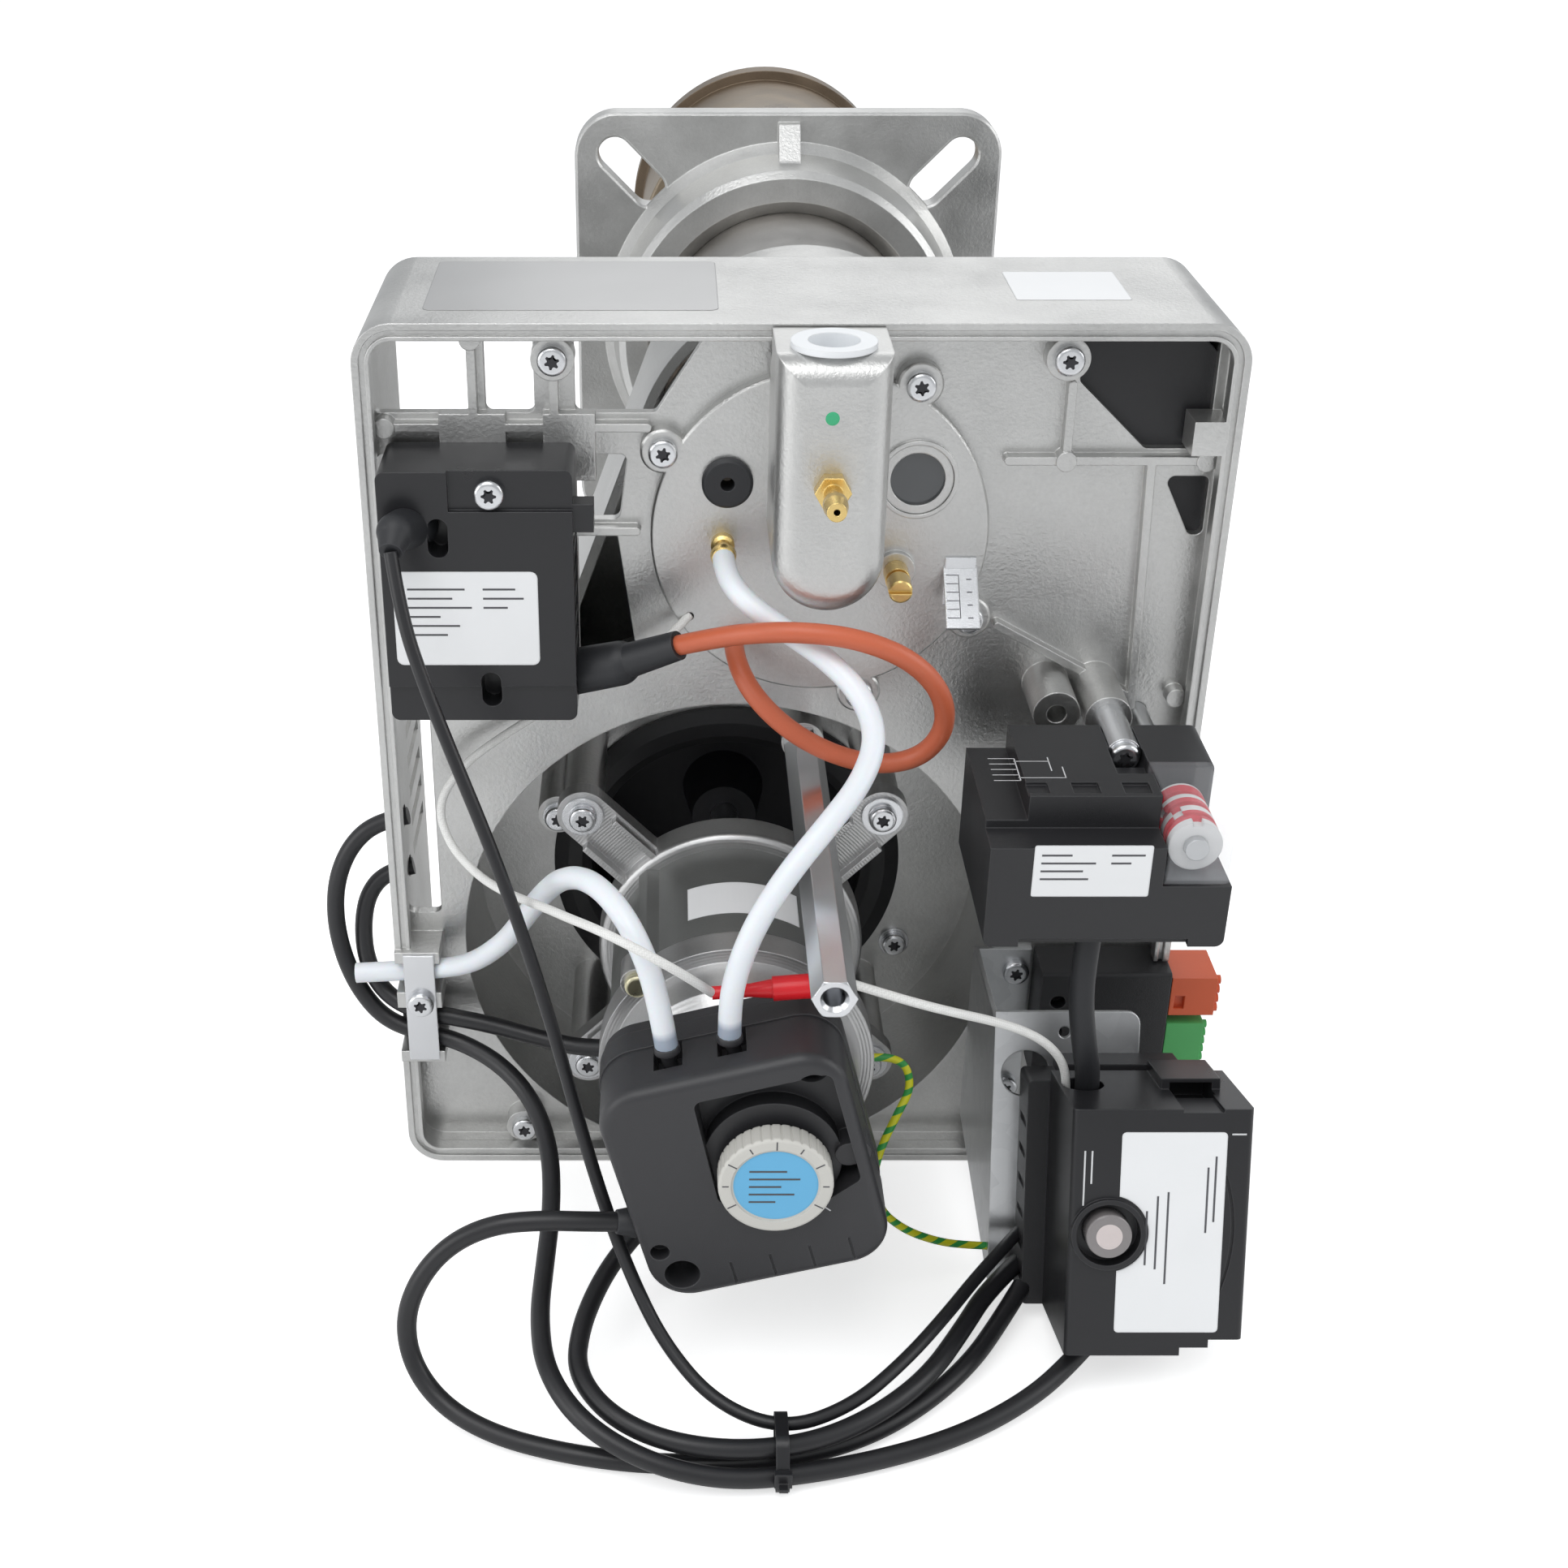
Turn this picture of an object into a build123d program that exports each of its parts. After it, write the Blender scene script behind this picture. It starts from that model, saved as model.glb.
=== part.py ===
from build123d import *
import os
from math import asin, atan2, cos, degrees, hypot, pi, radians, sin, sqrt, tan

os.makedirs("parts", exist_ok=True)

# Industrial gas burner with its cover off, standing on the flat underside of its die-cast body.
# Millimetres. X is to the right seen from the service side, +Y is the firing direction, +Z is up.
# Pieces are drawn from the plane of the body's open front rim, and written from the middle of
# its underside, which is the origin.

# ---------------------------------------------------------------- driving dimensions
# die-cast body
BODY_W = 303.0
BODY_H = 350.0
BODY_D = 89.0
BODY_R = 14.0
WALL = 4.0
RIM_W = 6.0
RIM_D = 6.0
DECK_Y = 14.0
DECK_T = 4.0
RIB_H = 5.0
RIB_T = 3.0
WELL_R = 105.0
WELL_FLOOR_Y = 79.0
POST_R = 8.5

# axes: combustion head, and fan with its motor
AXIS_X = 9.0
AXIS_Z = 272.0
FAN_X = -20.0
FAN_Z = 98.0

# fan
INLET_HOLE_R = 66.0
INLET_RING_R = 72.8
INLET_BORE_R = 56.0
INLET_RING_T = 4.0
VOLUTE_R = 100.0
VOLUTE_D = 78.0
IMPELLER_R = 66.5
IMPELLER_W = 60.0
IMPELLER_HUB_R = 14.0
BLADE_COUNT = 28
BLADE_T = 1.4
FAN_GAP = 3.0
CASING_GAP = 0.3

# blast tube and combustion head
TUBE_R = 57.0
TUBE_T = 1.5
TUBE_END_Y = 524.0
HEAD_R = 68.0
HEAD_LEN = 100.0
LIP_R = 73.0
LIP_LEN = 10.0
LIP_INNER_R = 61.0
RUN_GAP = 0.06
GAS_TUBE_R = 12.0
GAS_TUBE_BORE_R = 9.5
HEAD_TRAVEL = 34.0
DIFFUSER_R = 47.0
DIFFUSER_Y = 462.0

# boiler flange
FLANGE_SIDE = 191.0
FLANGE_Y = 274.0
FLANGE_T = 12.0
FLANGE_CORNER_R = 19.0
COLLAR_R = 76.0
COLLAR_LEN = 28.0
SLOT_INNER = 62.5
SLOT_OUTER = 77.5
SLOT_R = 7.5

# cover disk of the head, gas block and what sits on them
DISK_R = 60.0
DISK_T = 6.0
DISK_BOLT_R = 63.5
DISK_BOLT_ANGLES = (59.0, 151.0, -75.0, -30.0)
SCREW_R = 2.5
SCREW_HEAD_R = 5.2
SCREW_HEAD_H = 3.6
BLOCK_W = 38.0
BLOCK_FRONT_Y = -38.0
BLOCK_TOP_Z = 349.0
BLOCK_STEP_Z = 338.0
BLOCK_BOTTOM_Z = 260.0
PORT_Y = -22.5
PORT_R = 14.2
PORT_BORE_R = 10.2
PORT_DEPTH = 30.0

# motor
MOTOR_BOLT = 57.5
PILLAR_R = 8.0
PILLAR_FRONT_Y = 22.0
ARM_T = 8.0
ARM_W = 20.0
MOTOR_RING_R = 52.0
STATOR_R = 46.5
STATOR_FRONT_Y = -58.0
SHIELD_R = 50.0
SHIELD_FRONT_Y = -89.7
SHAFT_R = 6.0

# air pressure switch
SWITCH_X = -18.5
SWITCH_Z = 94.0
SWITCH_W = 86.0
SWITCH_H = 91.0
SWITCH_BASE_D = 17.0
SWITCH_COVER_D = 25.0
SWITCH_R = 15.0
SWITCH_TURN = 15.0
DIAL_R = 19.5
DIAL_H = 7.0

# burner control unit on its leaning bracket
CONTROL_X = 95.0
CONTROL_Y = -137.0
CONTROL_Z = 21.0
CONTROL_LEAN = 18.0
CONTROL_W = 62.5
CONTROL_H = 91.0
CONTROL_D = 44.0
CONTROL_BASE_D = 18.0
BASE_EXTRA = 8.0
BRACKET_T = 2.0
RESET_R = 8.0
RESET_TRAVEL = 2.5

# damper servomotor
SERVO_X = 61.0
SERVO_Z = 165.0
SERVO_W = 81.0
SERVO_H = 50.0
SERVO_FRONT_Y = -95.0
SERVO_BACK_Y = -28.0
DAMPER_X = 130.0
DAMPER_Z = 200.0
DAMPER_SHAFT_R = 4.0
BLADE_HALF_W = 13.5
DRUM_R = 9.0
COVER_T = 1.2
COVER_GAP = 0.3
DUCT_X = 113.5
DUCT_LOW_Z = 120.0
DUCT_TOP_Z = 342.0
DUCT_T = 2.0

# ignition transformer
TRAFO_X = -143.0
TRAFO_Z = 213.0
TRAFO_W = 66.0
TRAFO_H = 93.0
TRAFO_D = 31.0

# standoff that carries the cover
STANDOFF_AF = 12.5
STANDOFF_X = 6.0
STANDOFF_Z = 187.0
STANDOFF_FRONT_Y = -160.0


# ---------------------------------------------------------------- helpers
def front(y):
    """Sketch plane seen from the service side: local x is X, local y is Z."""
    return Plane(origin=(0, y, 0), x_dir=(1, 0, 0), z_dir=(0, -1, 0))


def slab(sketch, y0, y1):
    """Outline drawn in X and Z, solid from y0 back to y1."""
    return extrude(front(y0) * sketch, amount=-(y1 - y0))


def disc(r, x=0.0, z=0.0):
    return Pos(x, z) * Circle(r)


def rod_y(r, y0, y1, x=0.0, z=0.0):
    return slab(disc(r, x, z), y0, y1)


def rod_x(r, x0, x1, y=0.0, z=0.0):
    return Pos((x0 + x1) / 2, y, z) * Rot(0, 90, 0) * Cylinder(r, x1 - x0)


def rod_z(r, z0, z1, x=0.0, y=0.0):
    return Pos(x, y, (z0 + z1) / 2) * Cylinder(r, z1 - z0)


def pipe_y(r, bore, y0, y1, x=0.0, z=0.0):
    return slab(disc(r, x, z) - disc(bore, x, z), y0, y1)


def block(x0, x1, y0, y1, z0, z1):
    return Pos((x0 + x1) / 2, (y0 + y1) / 2, (z0 + z1) / 2) * Box(x1 - x0, y1 - y0, z1 - z0)


def outline(points, corner=0.0):
    """Closed outline through points, with its corners rounded."""
    face = make_face(Polyline(*points, close=True))
    return fillet(face.vertices(), corner) if corner else face


def rib(x0, z0, x1, z1, width=RIB_T):
    """Straight rib outline between two points, with round ends."""
    turn = degrees(atan2(z1 - z0, x1 - x0))
    long = hypot(x1 - x0, z1 - z0)
    return Pos((x0 + x1) / 2, (z0 + z1) / 2) * Rot(0, 0, turn) * SlotCenterToCenter(long, width)


def turned(profile, x=0.0, z=0.0):
    """Ring from a profile of (radius, y) points turned about a line along Y."""
    face = make_face(Plane.XY * Polyline(*[(r, y) for r, y in profile], close=True))
    return Pos(x, 0, z) * revolve(face, Axis.Y, 360)


def pan_screw(x, y, z, shank):
    """Pan-head screw along Y whose head rests on the face at y."""
    head = rod_y(SCREW_HEAD_R, y - SCREW_HEAD_H, y, x, z)
    head = fillet(head.edges().group_by(Axis.Y)[0], 1.5)
    return head + rod_y(SCREW_R, y, y + shank, x, z)


def washer_screw(x, y, z, shank, washer_r=8.0):
    return pan_screw(x, y - 1.5, z, shank + 1.5) + rod_y(washer_r, y - 1.5, y, x, z)


def hexagon(across_flats):
    return RegularPolygon(across_flats / 2, 6, major_radius=False)


def put(name, *shapes):
    """Writes one node, measured from the middle of the body's underside."""
    solids = [Pos(0, -BODY_D / 2, 0) * s for shape in shapes for s in shape.solids()]
    export_step(solids[0] if len(solids) == 1 else Compound(children=solids), "parts/" + name + ".step")


# ---------------------------------------------------------------- die-cast body
shell = Pos(0, BODY_H / 2) * RectangleRounded(BODY_W, BODY_H, BODY_R)
cavity = Pos(0, BODY_H / 2) * RectangleRounded(BODY_W - 2 * WALL, BODY_H - 2 * WALL, BODY_R - WALL)
mouth = Pos(0, BODY_H / 2) * RectangleRounded(BODY_W - 2 * RIM_W, BODY_H - 2 * RIM_W, BODY_R - RIM_W)
DECK_BACK_Y = DECK_Y + DECK_T
WELL_BACK_Y = WELL_FLOOR_Y + DECK_T
IN_LEFT = -BODY_W / 2 + WALL
IN_RIGHT = BODY_W / 2 - WALL
IN_TOP = BODY_H - WALL
MOTOR_BOLTS = [(FAN_X + i * MOTOR_BOLT, FAN_Z + j * MOTOR_BOLT) for i in (-1, 1) for j in (-1, 1)]
DISK_BOLTS = [
    (AXIS_X + DISK_BOLT_R * cos(radians(a)), AXIS_Z + DISK_BOLT_R * sin(radians(a)))
    for a in DISK_BOLT_ANGLES
]
BRACKET_SCREWS = [(94.0, 30.0), (94.0, 86.0)]
CASING_SCREWS = [(53.0, 58.0)]
SIDE_SCREW = (-88.0, 146.0)
SIDE_SCREW_Y = 32.0
PLUG_LOW_Z = 44.0
PLUG_HIGH_Z = 98.0
BODY_SCREWS = [(-84.0, 336.0), (91.0, 336.0), (-104.0, 13.0)]
SERVO_POSTS = [(95.0, 212.0), (113.0, 212.0)]
CLAMP_X = -142.0
CLAMP_LOW_Z = 57.0
CLAMP_HIGH_Z = 98.0
CLAMP_POST_Z = 81.5
CLAMP_FRONT_Y = -2.8
CABLE_R = 3.5
CABLE_HOLES = [(24.0, 150.0), (30.0, 124.0)]
LOUVRE_COUNT = 7
LOUVRE_PITCH = 13.0


def make_body():
    groove = Pos(0, BODY_H / 2) * (
        RectangleRounded(BODY_W - 5, BODY_H - 5, BODY_R - 2.5)
        - RectangleRounded(BODY_W - 9, BODY_H - 9, BODY_R - 4.5)
    )
    part = slab(shell, 0, BODY_D) - slab(cavity, RIM_D, BODY_D) - slab(mouth, 0, RIM_D)
    part -= slab(groove, 0, 1.5)

    deck = cavity - disc(WELL_R, FAN_X, FAN_Z)
    lattice = [
        [(-147, 315), (-147, 345), (-113, 345), (-113, 315)],
        [(-108, 315), (-108, 345), (-91, 345), (-91, 315)],
        [(-77, 315), (-77, 345), (-30, 345), (-49, 315)],
        [(-147, 220), (-147, 300), (-82, 300), (-82, 220)],
        [(-77, 276), (-77, 300), (-59, 300), (-62, 276)],
        [(-77, 222), (-77, 271), (-63, 271), (-56, 222)],
        [(-147, 112), (-147, 214), (-134, 214), (-134, 112)],
        [(97, 342), (144, 342), (144, 302), (122, 302), (97, 326)],
        [(130, 292), (146, 292), (146, 270), (141, 270)],
    ]
    for points in lattice:
        deck -= outline(points, 2.5)
    deck += disc(DISK_R + 6, AXIS_X, AXIS_Z) & cavity
    for x, z in DISK_BOLTS:
        deck += disc(POST_R, x, z)
    deck -= disc(TUBE_R - TUBE_T, AXIS_X, AXIS_Z)
    part += slab(deck, DECK_Y, DECK_BACK_Y)

    # ring behind the deck that the blast tube is pressed into
    part += pipe_y(TUBE_R + 5, TUBE_R, DECK_BACK_Y, WELL_BACK_Y, AXIS_X, AXIS_Z)

    # well in front of the fan
    rim = (disc(WELL_R + WALL, FAN_X, FAN_Z) - disc(WELL_R, FAN_X, FAN_Z)) & cavity
    part += slab(rim - disc(TUBE_R, AXIS_X, AXIS_Z), DECK_Y, WELL_BACK_Y)
    floor = (disc(WELL_R + WALL, FAN_X, FAN_Z) & cavity) - disc(INLET_HOLE_R, FAN_X, FAN_Z)
    part += slab(floor - disc(TUBE_R, AXIS_X, AXIS_Z), WELL_FLOOR_Y, WELL_BACK_Y)
    for x, z in MOTOR_BOLTS:
        part += rod_y(PILLAR_R, PILLAR_FRONT_Y, WELL_BACK_Y, x, z)
        part -= rod_y(SCREW_R, PILLAR_FRONT_Y, PILLAR_FRONT_Y + 14, x, z)
    part += rod_y(PILLAR_R, SIDE_SCREW_Y, WELL_BACK_Y, *SIDE_SCREW)
    part += rod_y(PILLAR_R, DECK_Y, WELL_BACK_Y, STANDOFF_X, STANDOFF_Z)
    part -= rod_y(SCREW_R, SIDE_SCREW_Y, SIDE_SCREW_Y + 14, *SIDE_SCREW)

    # ribs on the front of the deck
    ribs = [
        (AXIS_X + DISK_R + 5, 299, IN_RIGHT, 299),
        (124, 299, 127, 200),
        (94, 326, 94, 299),
        (75, 236.5, 126, 208),
        (-112, 345, -112, 300),
        (-84, 330, -84, 222),
        (IN_LEFT, 311, -52, 311),
        (-82, 273, -56, 273),
    ]
    for x0, z0, x1, z1 in ribs:
        part += slab(rib(x0, z0, x1, z1) & cavity, DECK_Y - RIB_H, DECK_Y + 1)
    for x, z in [(94, 299), (143, 299), (-143, 311), (-112, 342), (143, 208)]:
        part += rod_y(3.6, DECK_Y - RIB_H - 1, DECK_Y + 1, x, z)

    # bosses: body screws, servo posts, transformer seats, square stop
    for x, z in BODY_SCREWS:
        part += rod_y(POST_R - 1, DECK_Y - 8, DECK_Y + 1, x, z) & slab(cavity, 0, BODY_D)
        part -= rod_y(SCREW_R, DECK_Y - 8, DECK_BACK_Y, x, z)
    for (x, z), y in zip(SERVO_POSTS, (-13.0, -17.0)):
        part += rod_y(POST_R, y, DECK_Y + 1, x, z)
        part -= rod_y(3.5, y, y + 16, x, z)
    part += block(-124, -101, DECK_Y - RIB_H, DECK_Y + 1, 298, 316)
    part += block(-88, -70, DECK_Y - RIB_H, DECK_Y + 1, 292, 316)
    part += block(135, 147, -6 + RIM_D, DECK_Y + 1, 304, 316)

    # louvres through the left wall, and the intake louvres low in it
    for k in range(LOUVRE_COUNT):
        part -= Pos(-BODY_W / 2, 62, 126 + LOUVRE_PITCH * k) * Rot(0, 30, 0) * Box(4 * WALL, 36, 5)
    # two holes where cables come out through the left wall
    for y, z in CABLE_HOLES:
        part -= rod_x(CABLE_R + 1, -BODY_W / 2 - 1, -BODY_W / 2 + WALL + 1, y, z)

    # notch in the rim where the clamp holds two cables and a hose, with the post between them
    part -= block(-BODY_W / 2 - 1, -BODY_W / 2 + RIM_W + 1, -1, 9, CLAMP_LOW_Z, CLAMP_HIGH_Z)
    for z, half in ((CLAMP_POST_Z, 3.5), (CLAMP_HIGH_Z + 3, 2.5), (CLAMP_LOW_Z - 2.5, 2.5)):
        part += block(-BODY_W / 2, -134, CLAMP_FRONT_Y, DECK_Y + 1, z - half, z + half)
    # bush of the damper shaft, holes for the standoff and for the screws into the casing
    part -= rod_y(DAMPER_SHAFT_R + RUN_GAP, 0, DECK_BACK_Y + 1, DAMPER_X, DAMPER_Z)
    for x, z in CASING_SCREWS:
        part -= rod_y(SCREW_R + 0.2, WELL_FLOOR_Y - 1, WELL_BACK_Y + 1, x, z)
    for x, z in DISK_BOLTS + BRACKET_SCREWS:
        part -= rod_y(SCREW_R, DECK_Y - 1, DECK_BACK_Y + 1, x, z)
    # notch in the right wall for the plug housing
    part -= block(IN_RIGHT - 3, BODY_W / 2 + 1, -1, DECK_Y, PLUG_LOW_Z, PLUG_HIGH_Z)
    return part


put("body", make_body())


# ---------------------------------------------------------------- fan casing, inlet and impeller
CASING_BACK_Y = WELL_BACK_Y + VOLUTE_D


def volute(spread):
    """Outline of the fan casing: round about the fan, drawn up to the blast tube."""
    fan = disc(VOLUTE_R + spread, FAN_X, FAN_Z)
    throat = disc(TUBE_R + 10 + spread, AXIS_X, AXIS_Z)
    return make_hull(fan.edges() + throat.edges())


def make_casing():
    above_floor = block(-BODY_W, BODY_W, 0, 2 * CASING_BACK_Y, 0, 2 * BODY_H)
    part = slab(volute(0), WELL_BACK_Y, CASING_BACK_Y)
    back = part.faces().sort_by(Axis.Y)[-1]
    part = fillet(back.edges(), 9)
    part -= slab(volute(-WALL), WELL_BACK_Y, CASING_BACK_Y - WALL)
    # its front edge sits inside the body's outer walls
    part -= slab(disc(2 * BODY_H) - offset(cavity, -CASING_GAP), WELL_BACK_Y, BODY_D)
    part += rod_y(TUBE_R + 5, CASING_BACK_Y - WALL, CASING_BACK_Y + 12, AXIS_X, AXIS_Z)
    part -= rod_y(TUBE_R, WELL_BACK_Y, CASING_BACK_Y + 13, AXIS_X, AXIS_Z)
    for x, z in CASING_SCREWS:
        out = (VOLUTE_R - WALL / 2) / hypot(x - FAN_X, z - FAN_Z)
        far_x = FAN_X + (x - FAN_X) * out
        far_z = FAN_Z + (z - FAN_Z) * out
        part += slab(rib(x, z, far_x, far_z, 12), WELL_BACK_Y, WELL_BACK_Y + 14) & slab(volute(0), 0, BODY_H)
        part -= rod_y(SCREW_R, WELL_BACK_Y, WELL_BACK_Y + 12, x, z)
    return part & above_floor


put("fan_casing", make_casing())

inlet_profile = [
    (INLET_RING_R, WELL_FLOOR_Y),
    (INLET_RING_R, WELL_FLOOR_Y - 2),
    (INLET_RING_R - 6, WELL_FLOOR_Y - INLET_RING_T),
    (INLET_BORE_R + 5, WELL_FLOOR_Y - INLET_RING_T),
    (INLET_BORE_R + 1, WELL_FLOOR_Y - 1.5),
    (INLET_BORE_R, WELL_BACK_Y + 3),
    (INLET_BORE_R + 2, WELL_BACK_Y + 3),
    (INLET_BORE_R + 3.5, WELL_FLOOR_Y + 1),
    (INLET_BORE_R + 6, WELL_FLOOR_Y),
]
put("inlet_ring", turned(inlet_profile, FAN_X, FAN_Z))

IMPELLER_FRONT_Y = WELL_BACK_Y + 3 + FAN_GAP
IMPELLER_BACK_Y = IMPELLER_FRONT_Y + IMPELLER_W


def make_impeller():
    inner = INLET_BORE_R + 1
    part = pipe_y(IMPELLER_R, inner, IMPELLER_FRONT_Y, IMPELLER_FRONT_Y + 2)
    part += rod_y(IMPELLER_R, IMPELLER_BACK_Y - 2, IMPELLER_BACK_Y)
    part += turned([(0, IMPELLER_BACK_Y - 30), (IMPELLER_HUB_R, IMPELLER_BACK_Y - 30),
                    (IMPELLER_HUB_R + 4, IMPELLER_BACK_Y - 1), (0, IMPELLER_BACK_Y - 1)])
    middle = (inner + IMPELLER_R) / 2
    curve = ThreePointArc((inner + 0.5, 0), (middle, 4.0), (IMPELLER_R - 0.7, 1.5))
    blade = slab(trace(curve, BLADE_T), IMPELLER_FRONT_Y + 1, IMPELLER_BACK_Y - 1)
    for k in range(BLADE_COUNT):
        part += Rot(0, 360 * k / BLADE_COUNT, 0) * blade
    part -= rod_y(SHAFT_R, 0, IMPELLER_BACK_Y + 1)
    return Pos(FAN_X, 0, FAN_Z) * part


put("impeller", make_impeller())

# ---------------------------------------------------------------- motor
FLANGE_FRONT_Y = PILLAR_FRONT_Y - ARM_T
SHAFT_FRONT_Y = STATOR_FRONT_Y - 14
put("motor_shaft", rod_y(SHAFT_R, SHAFT_FRONT_Y, IMPELLER_BACK_Y + 2, FAN_X, FAN_Z))


def make_motor_flange():
    part = rod_y(MOTOR_RING_R, FLANGE_FRONT_Y - 6, PILLAR_FRONT_Y, FAN_X, FAN_Z)
    part = fillet(part.edges().group_by(Axis.Y)[0], 3)
    part -= rod_y(MOTOR_RING_R - 5, PILLAR_FRONT_Y - 6, PILLAR_FRONT_Y, FAN_X, FAN_Z)
    for x, z in MOTOR_BOLTS:
        part += slab(rib(FAN_X + (x - FAN_X) / 2, FAN_Z + (z - FAN_Z) / 2, x, z, ARM_W), FLANGE_FRONT_Y, PILLAR_FRONT_Y)
        along = degrees(atan2(z - FAN_Z, x - FAN_X))
        for side in (-1, 1):
            web = Pos(x, z) * Rot(0, 0, along) * Pos(-20, side * 8) * Rectangle(22, 2.4)
            part += slab(web, FLANGE_FRONT_Y - 5, FLANGE_FRONT_Y + 1)
        part -= rod_y(SCREW_R + 0.2, 0, PILLAR_FRONT_Y + 1, x, z)
    part += rod_y(16, PILLAR_FRONT_Y - 8, PILLAR_FRONT_Y + 12, FAN_X, FAN_Z)
    return part - rod_y(SHAFT_R + RUN_GAP, -20, WELL_FLOOR_Y, FAN_X, FAN_Z)


put("motor_flange", make_motor_flange())


def make_stator():
    back = FLANGE_FRONT_Y - 6
    part = rod_y(STATOR_R, STATOR_FRONT_Y, back)
    for side in (-1, 1):
        for low in (-1, 1):
            part += block(side * 31 - 5, side * 31 + 5, STATOR_FRONT_Y, back, low * 31 - 6, low * 31 + 6)
    part &= rod_y(STATOR_R + 3, STATOR_FRONT_Y, back)
    part -= rod_y(SHAFT_R + RUN_GAP, STATOR_FRONT_Y - 1, back + 1)
    return Pos(FAN_X, 0, FAN_Z) * part


put("motor_stator", make_stator())


def make_end_shield():
    front_y = SHIELD_FRONT_Y
    shaft_bore = SHAFT_R + RUN_GAP
    part = turned([
        (shaft_bore, STATOR_FRONT_Y), (SHIELD_R, STATOR_FRONT_Y), (SHIELD_R, STATOR_FRONT_Y - 12),
        (SHIELD_R - 5, STATOR_FRONT_Y - 12), (SHIELD_R - 7, front_y + 5), (SHIELD_R - 11, front_y),
        (0, front_y), (0, SHAFT_FRONT_Y - 0.3), (shaft_bore, SHAFT_FRONT_Y - 0.3)])
    for x, z in TIE_RODS:
        part += rod_y(6, STATOR_FRONT_Y - 12, STATOR_FRONT_Y, x, z)
    for x, z in TIE_RODS:
        part -= rod_y(SCREW_R + 0.1, STATOR_FRONT_Y - 20, STATOR_FRONT_Y + 1, x, z)
    return Pos(FAN_X, 0, FAN_Z) * part


TIE_OUT = (SHIELD_R + 0.5) * cos(radians(45))
TIE_RODS = [(i * TIE_OUT, j * TIE_OUT) for i in (-1, 1) for j in (-1, 1)]
put("motor_end_shield", make_end_shield())


def make_tie_rod():
    head = fillet(rod_y(4.5, -3, 0).edges().group_by(Axis.Y)[0], 1.2)
    return head + rod_y(SCREW_R, -1, 12)


tie_rods = [Pos(FAN_X + x, STATOR_FRONT_Y - 12, FAN_Z + z) * make_tie_rod() for x, z in TIE_RODS]
put("tie_rods", *tie_rods)

motor_screws = [washer_screw(x, FLANGE_FRONT_Y, z, ARM_T + 12) for x, z in MOTOR_BOLTS]
casing_screws = [washer_screw(x, WELL_FLOOR_Y, z, DECK_T + 11, 6.5) for x, z in CASING_SCREWS]
side_screw = washer_screw(SIDE_SCREW[0], SIDE_SCREW_Y, SIDE_SCREW[1], 12, 6)
put("washer_screws", *motor_screws, *casing_screws, side_screw)

# ---------------------------------------------------------------- air duct, damper and its servomotor
duct = [
    (IN_RIGHT - COVER_GAP, DUCT_LOW_Z), (IN_RIGHT - COVER_GAP, DUCT_TOP_Z - 10), (IN_RIGHT - 10, DUCT_TOP_Z),
    (90, DUCT_TOP_Z), (90, 303), (DUCT_X, 296), (DUCT_X, DUCT_LOW_Z),
]


def make_air_box():
    outer = outline(duct)
    inner = offset(outer, -DUCT_T, kind=Kind.INTERSECTION)
    inner += Pos((DUCT_X + IN_RIGHT) / 2, DUCT_LOW_Z) * Rectangle(IN_RIGHT - DUCT_X - 2 * DUCT_T - 1, 8)
    part = slab(outer, DECK_BACK_Y, BODY_D - 4)
    part -= slab(inner, DECK_BACK_Y + DUCT_T, BODY_D - 4 - DUCT_T)
    part -= rod_y(DAMPER_SHAFT_R + RUN_GAP, 0, DECK_BACK_Y + 5, DAMPER_X, DAMPER_Z)
    return part


put("air_box", make_air_box())

BLADE_FRONT_Y = DECK_BACK_Y + DUCT_T + 1
BLADE_BACK_Y = BODY_D - 4 - DUCT_T - 1
DRUM_FRONT_Y = SERVO_FRONT_Y + 7
DRUM_BACK_Y = DRUM_FRONT_Y + 30
SHAFT_END_Y = DRUM_FRONT_Y - 3
blade = slab(Pos(DAMPER_X, DAMPER_Z) * RectangleRounded(2 * BLADE_HALF_W, 2.4, 1.1), BLADE_FRONT_Y, BLADE_BACK_Y)
put("damper", rod_y(DAMPER_SHAFT_R, SHAFT_END_Y, BLADE_BACK_Y, DAMPER_X, DAMPER_Z) + blade)


def make_drum():
    part = pipe_y(DRUM_R - 1.5, DAMPER_SHAFT_R, DRUM_FRONT_Y, DRUM_BACK_Y)
    for k in range(4):
        y = DRUM_FRONT_Y + 7.5 * k
        cam = disc(DRUM_R) - Rot(0, 0, 90 + 35 * k) * Pos(DRUM_R, 0) * Rectangle(3.4, 3.4)
        part += slab(cam - disc(DAMPER_SHAFT_R), y, y + 5)
    return Pos(DAMPER_X, 0, DAMPER_Z) * part


put("cam_drum", make_drum())

SERVO_RIGHT = SERVO_X + SERVO_W
SERVO_TOP = SERVO_Z + SERVO_H
COVER_LEFT = DAMPER_X - DRUM_R - COVER_T - 0.8
COVER_LOW = DAMPER_Z - DRUM_R - COVER_T - 1.3
COVER_BACK_Y = DRUM_BACK_Y + 2


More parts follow.
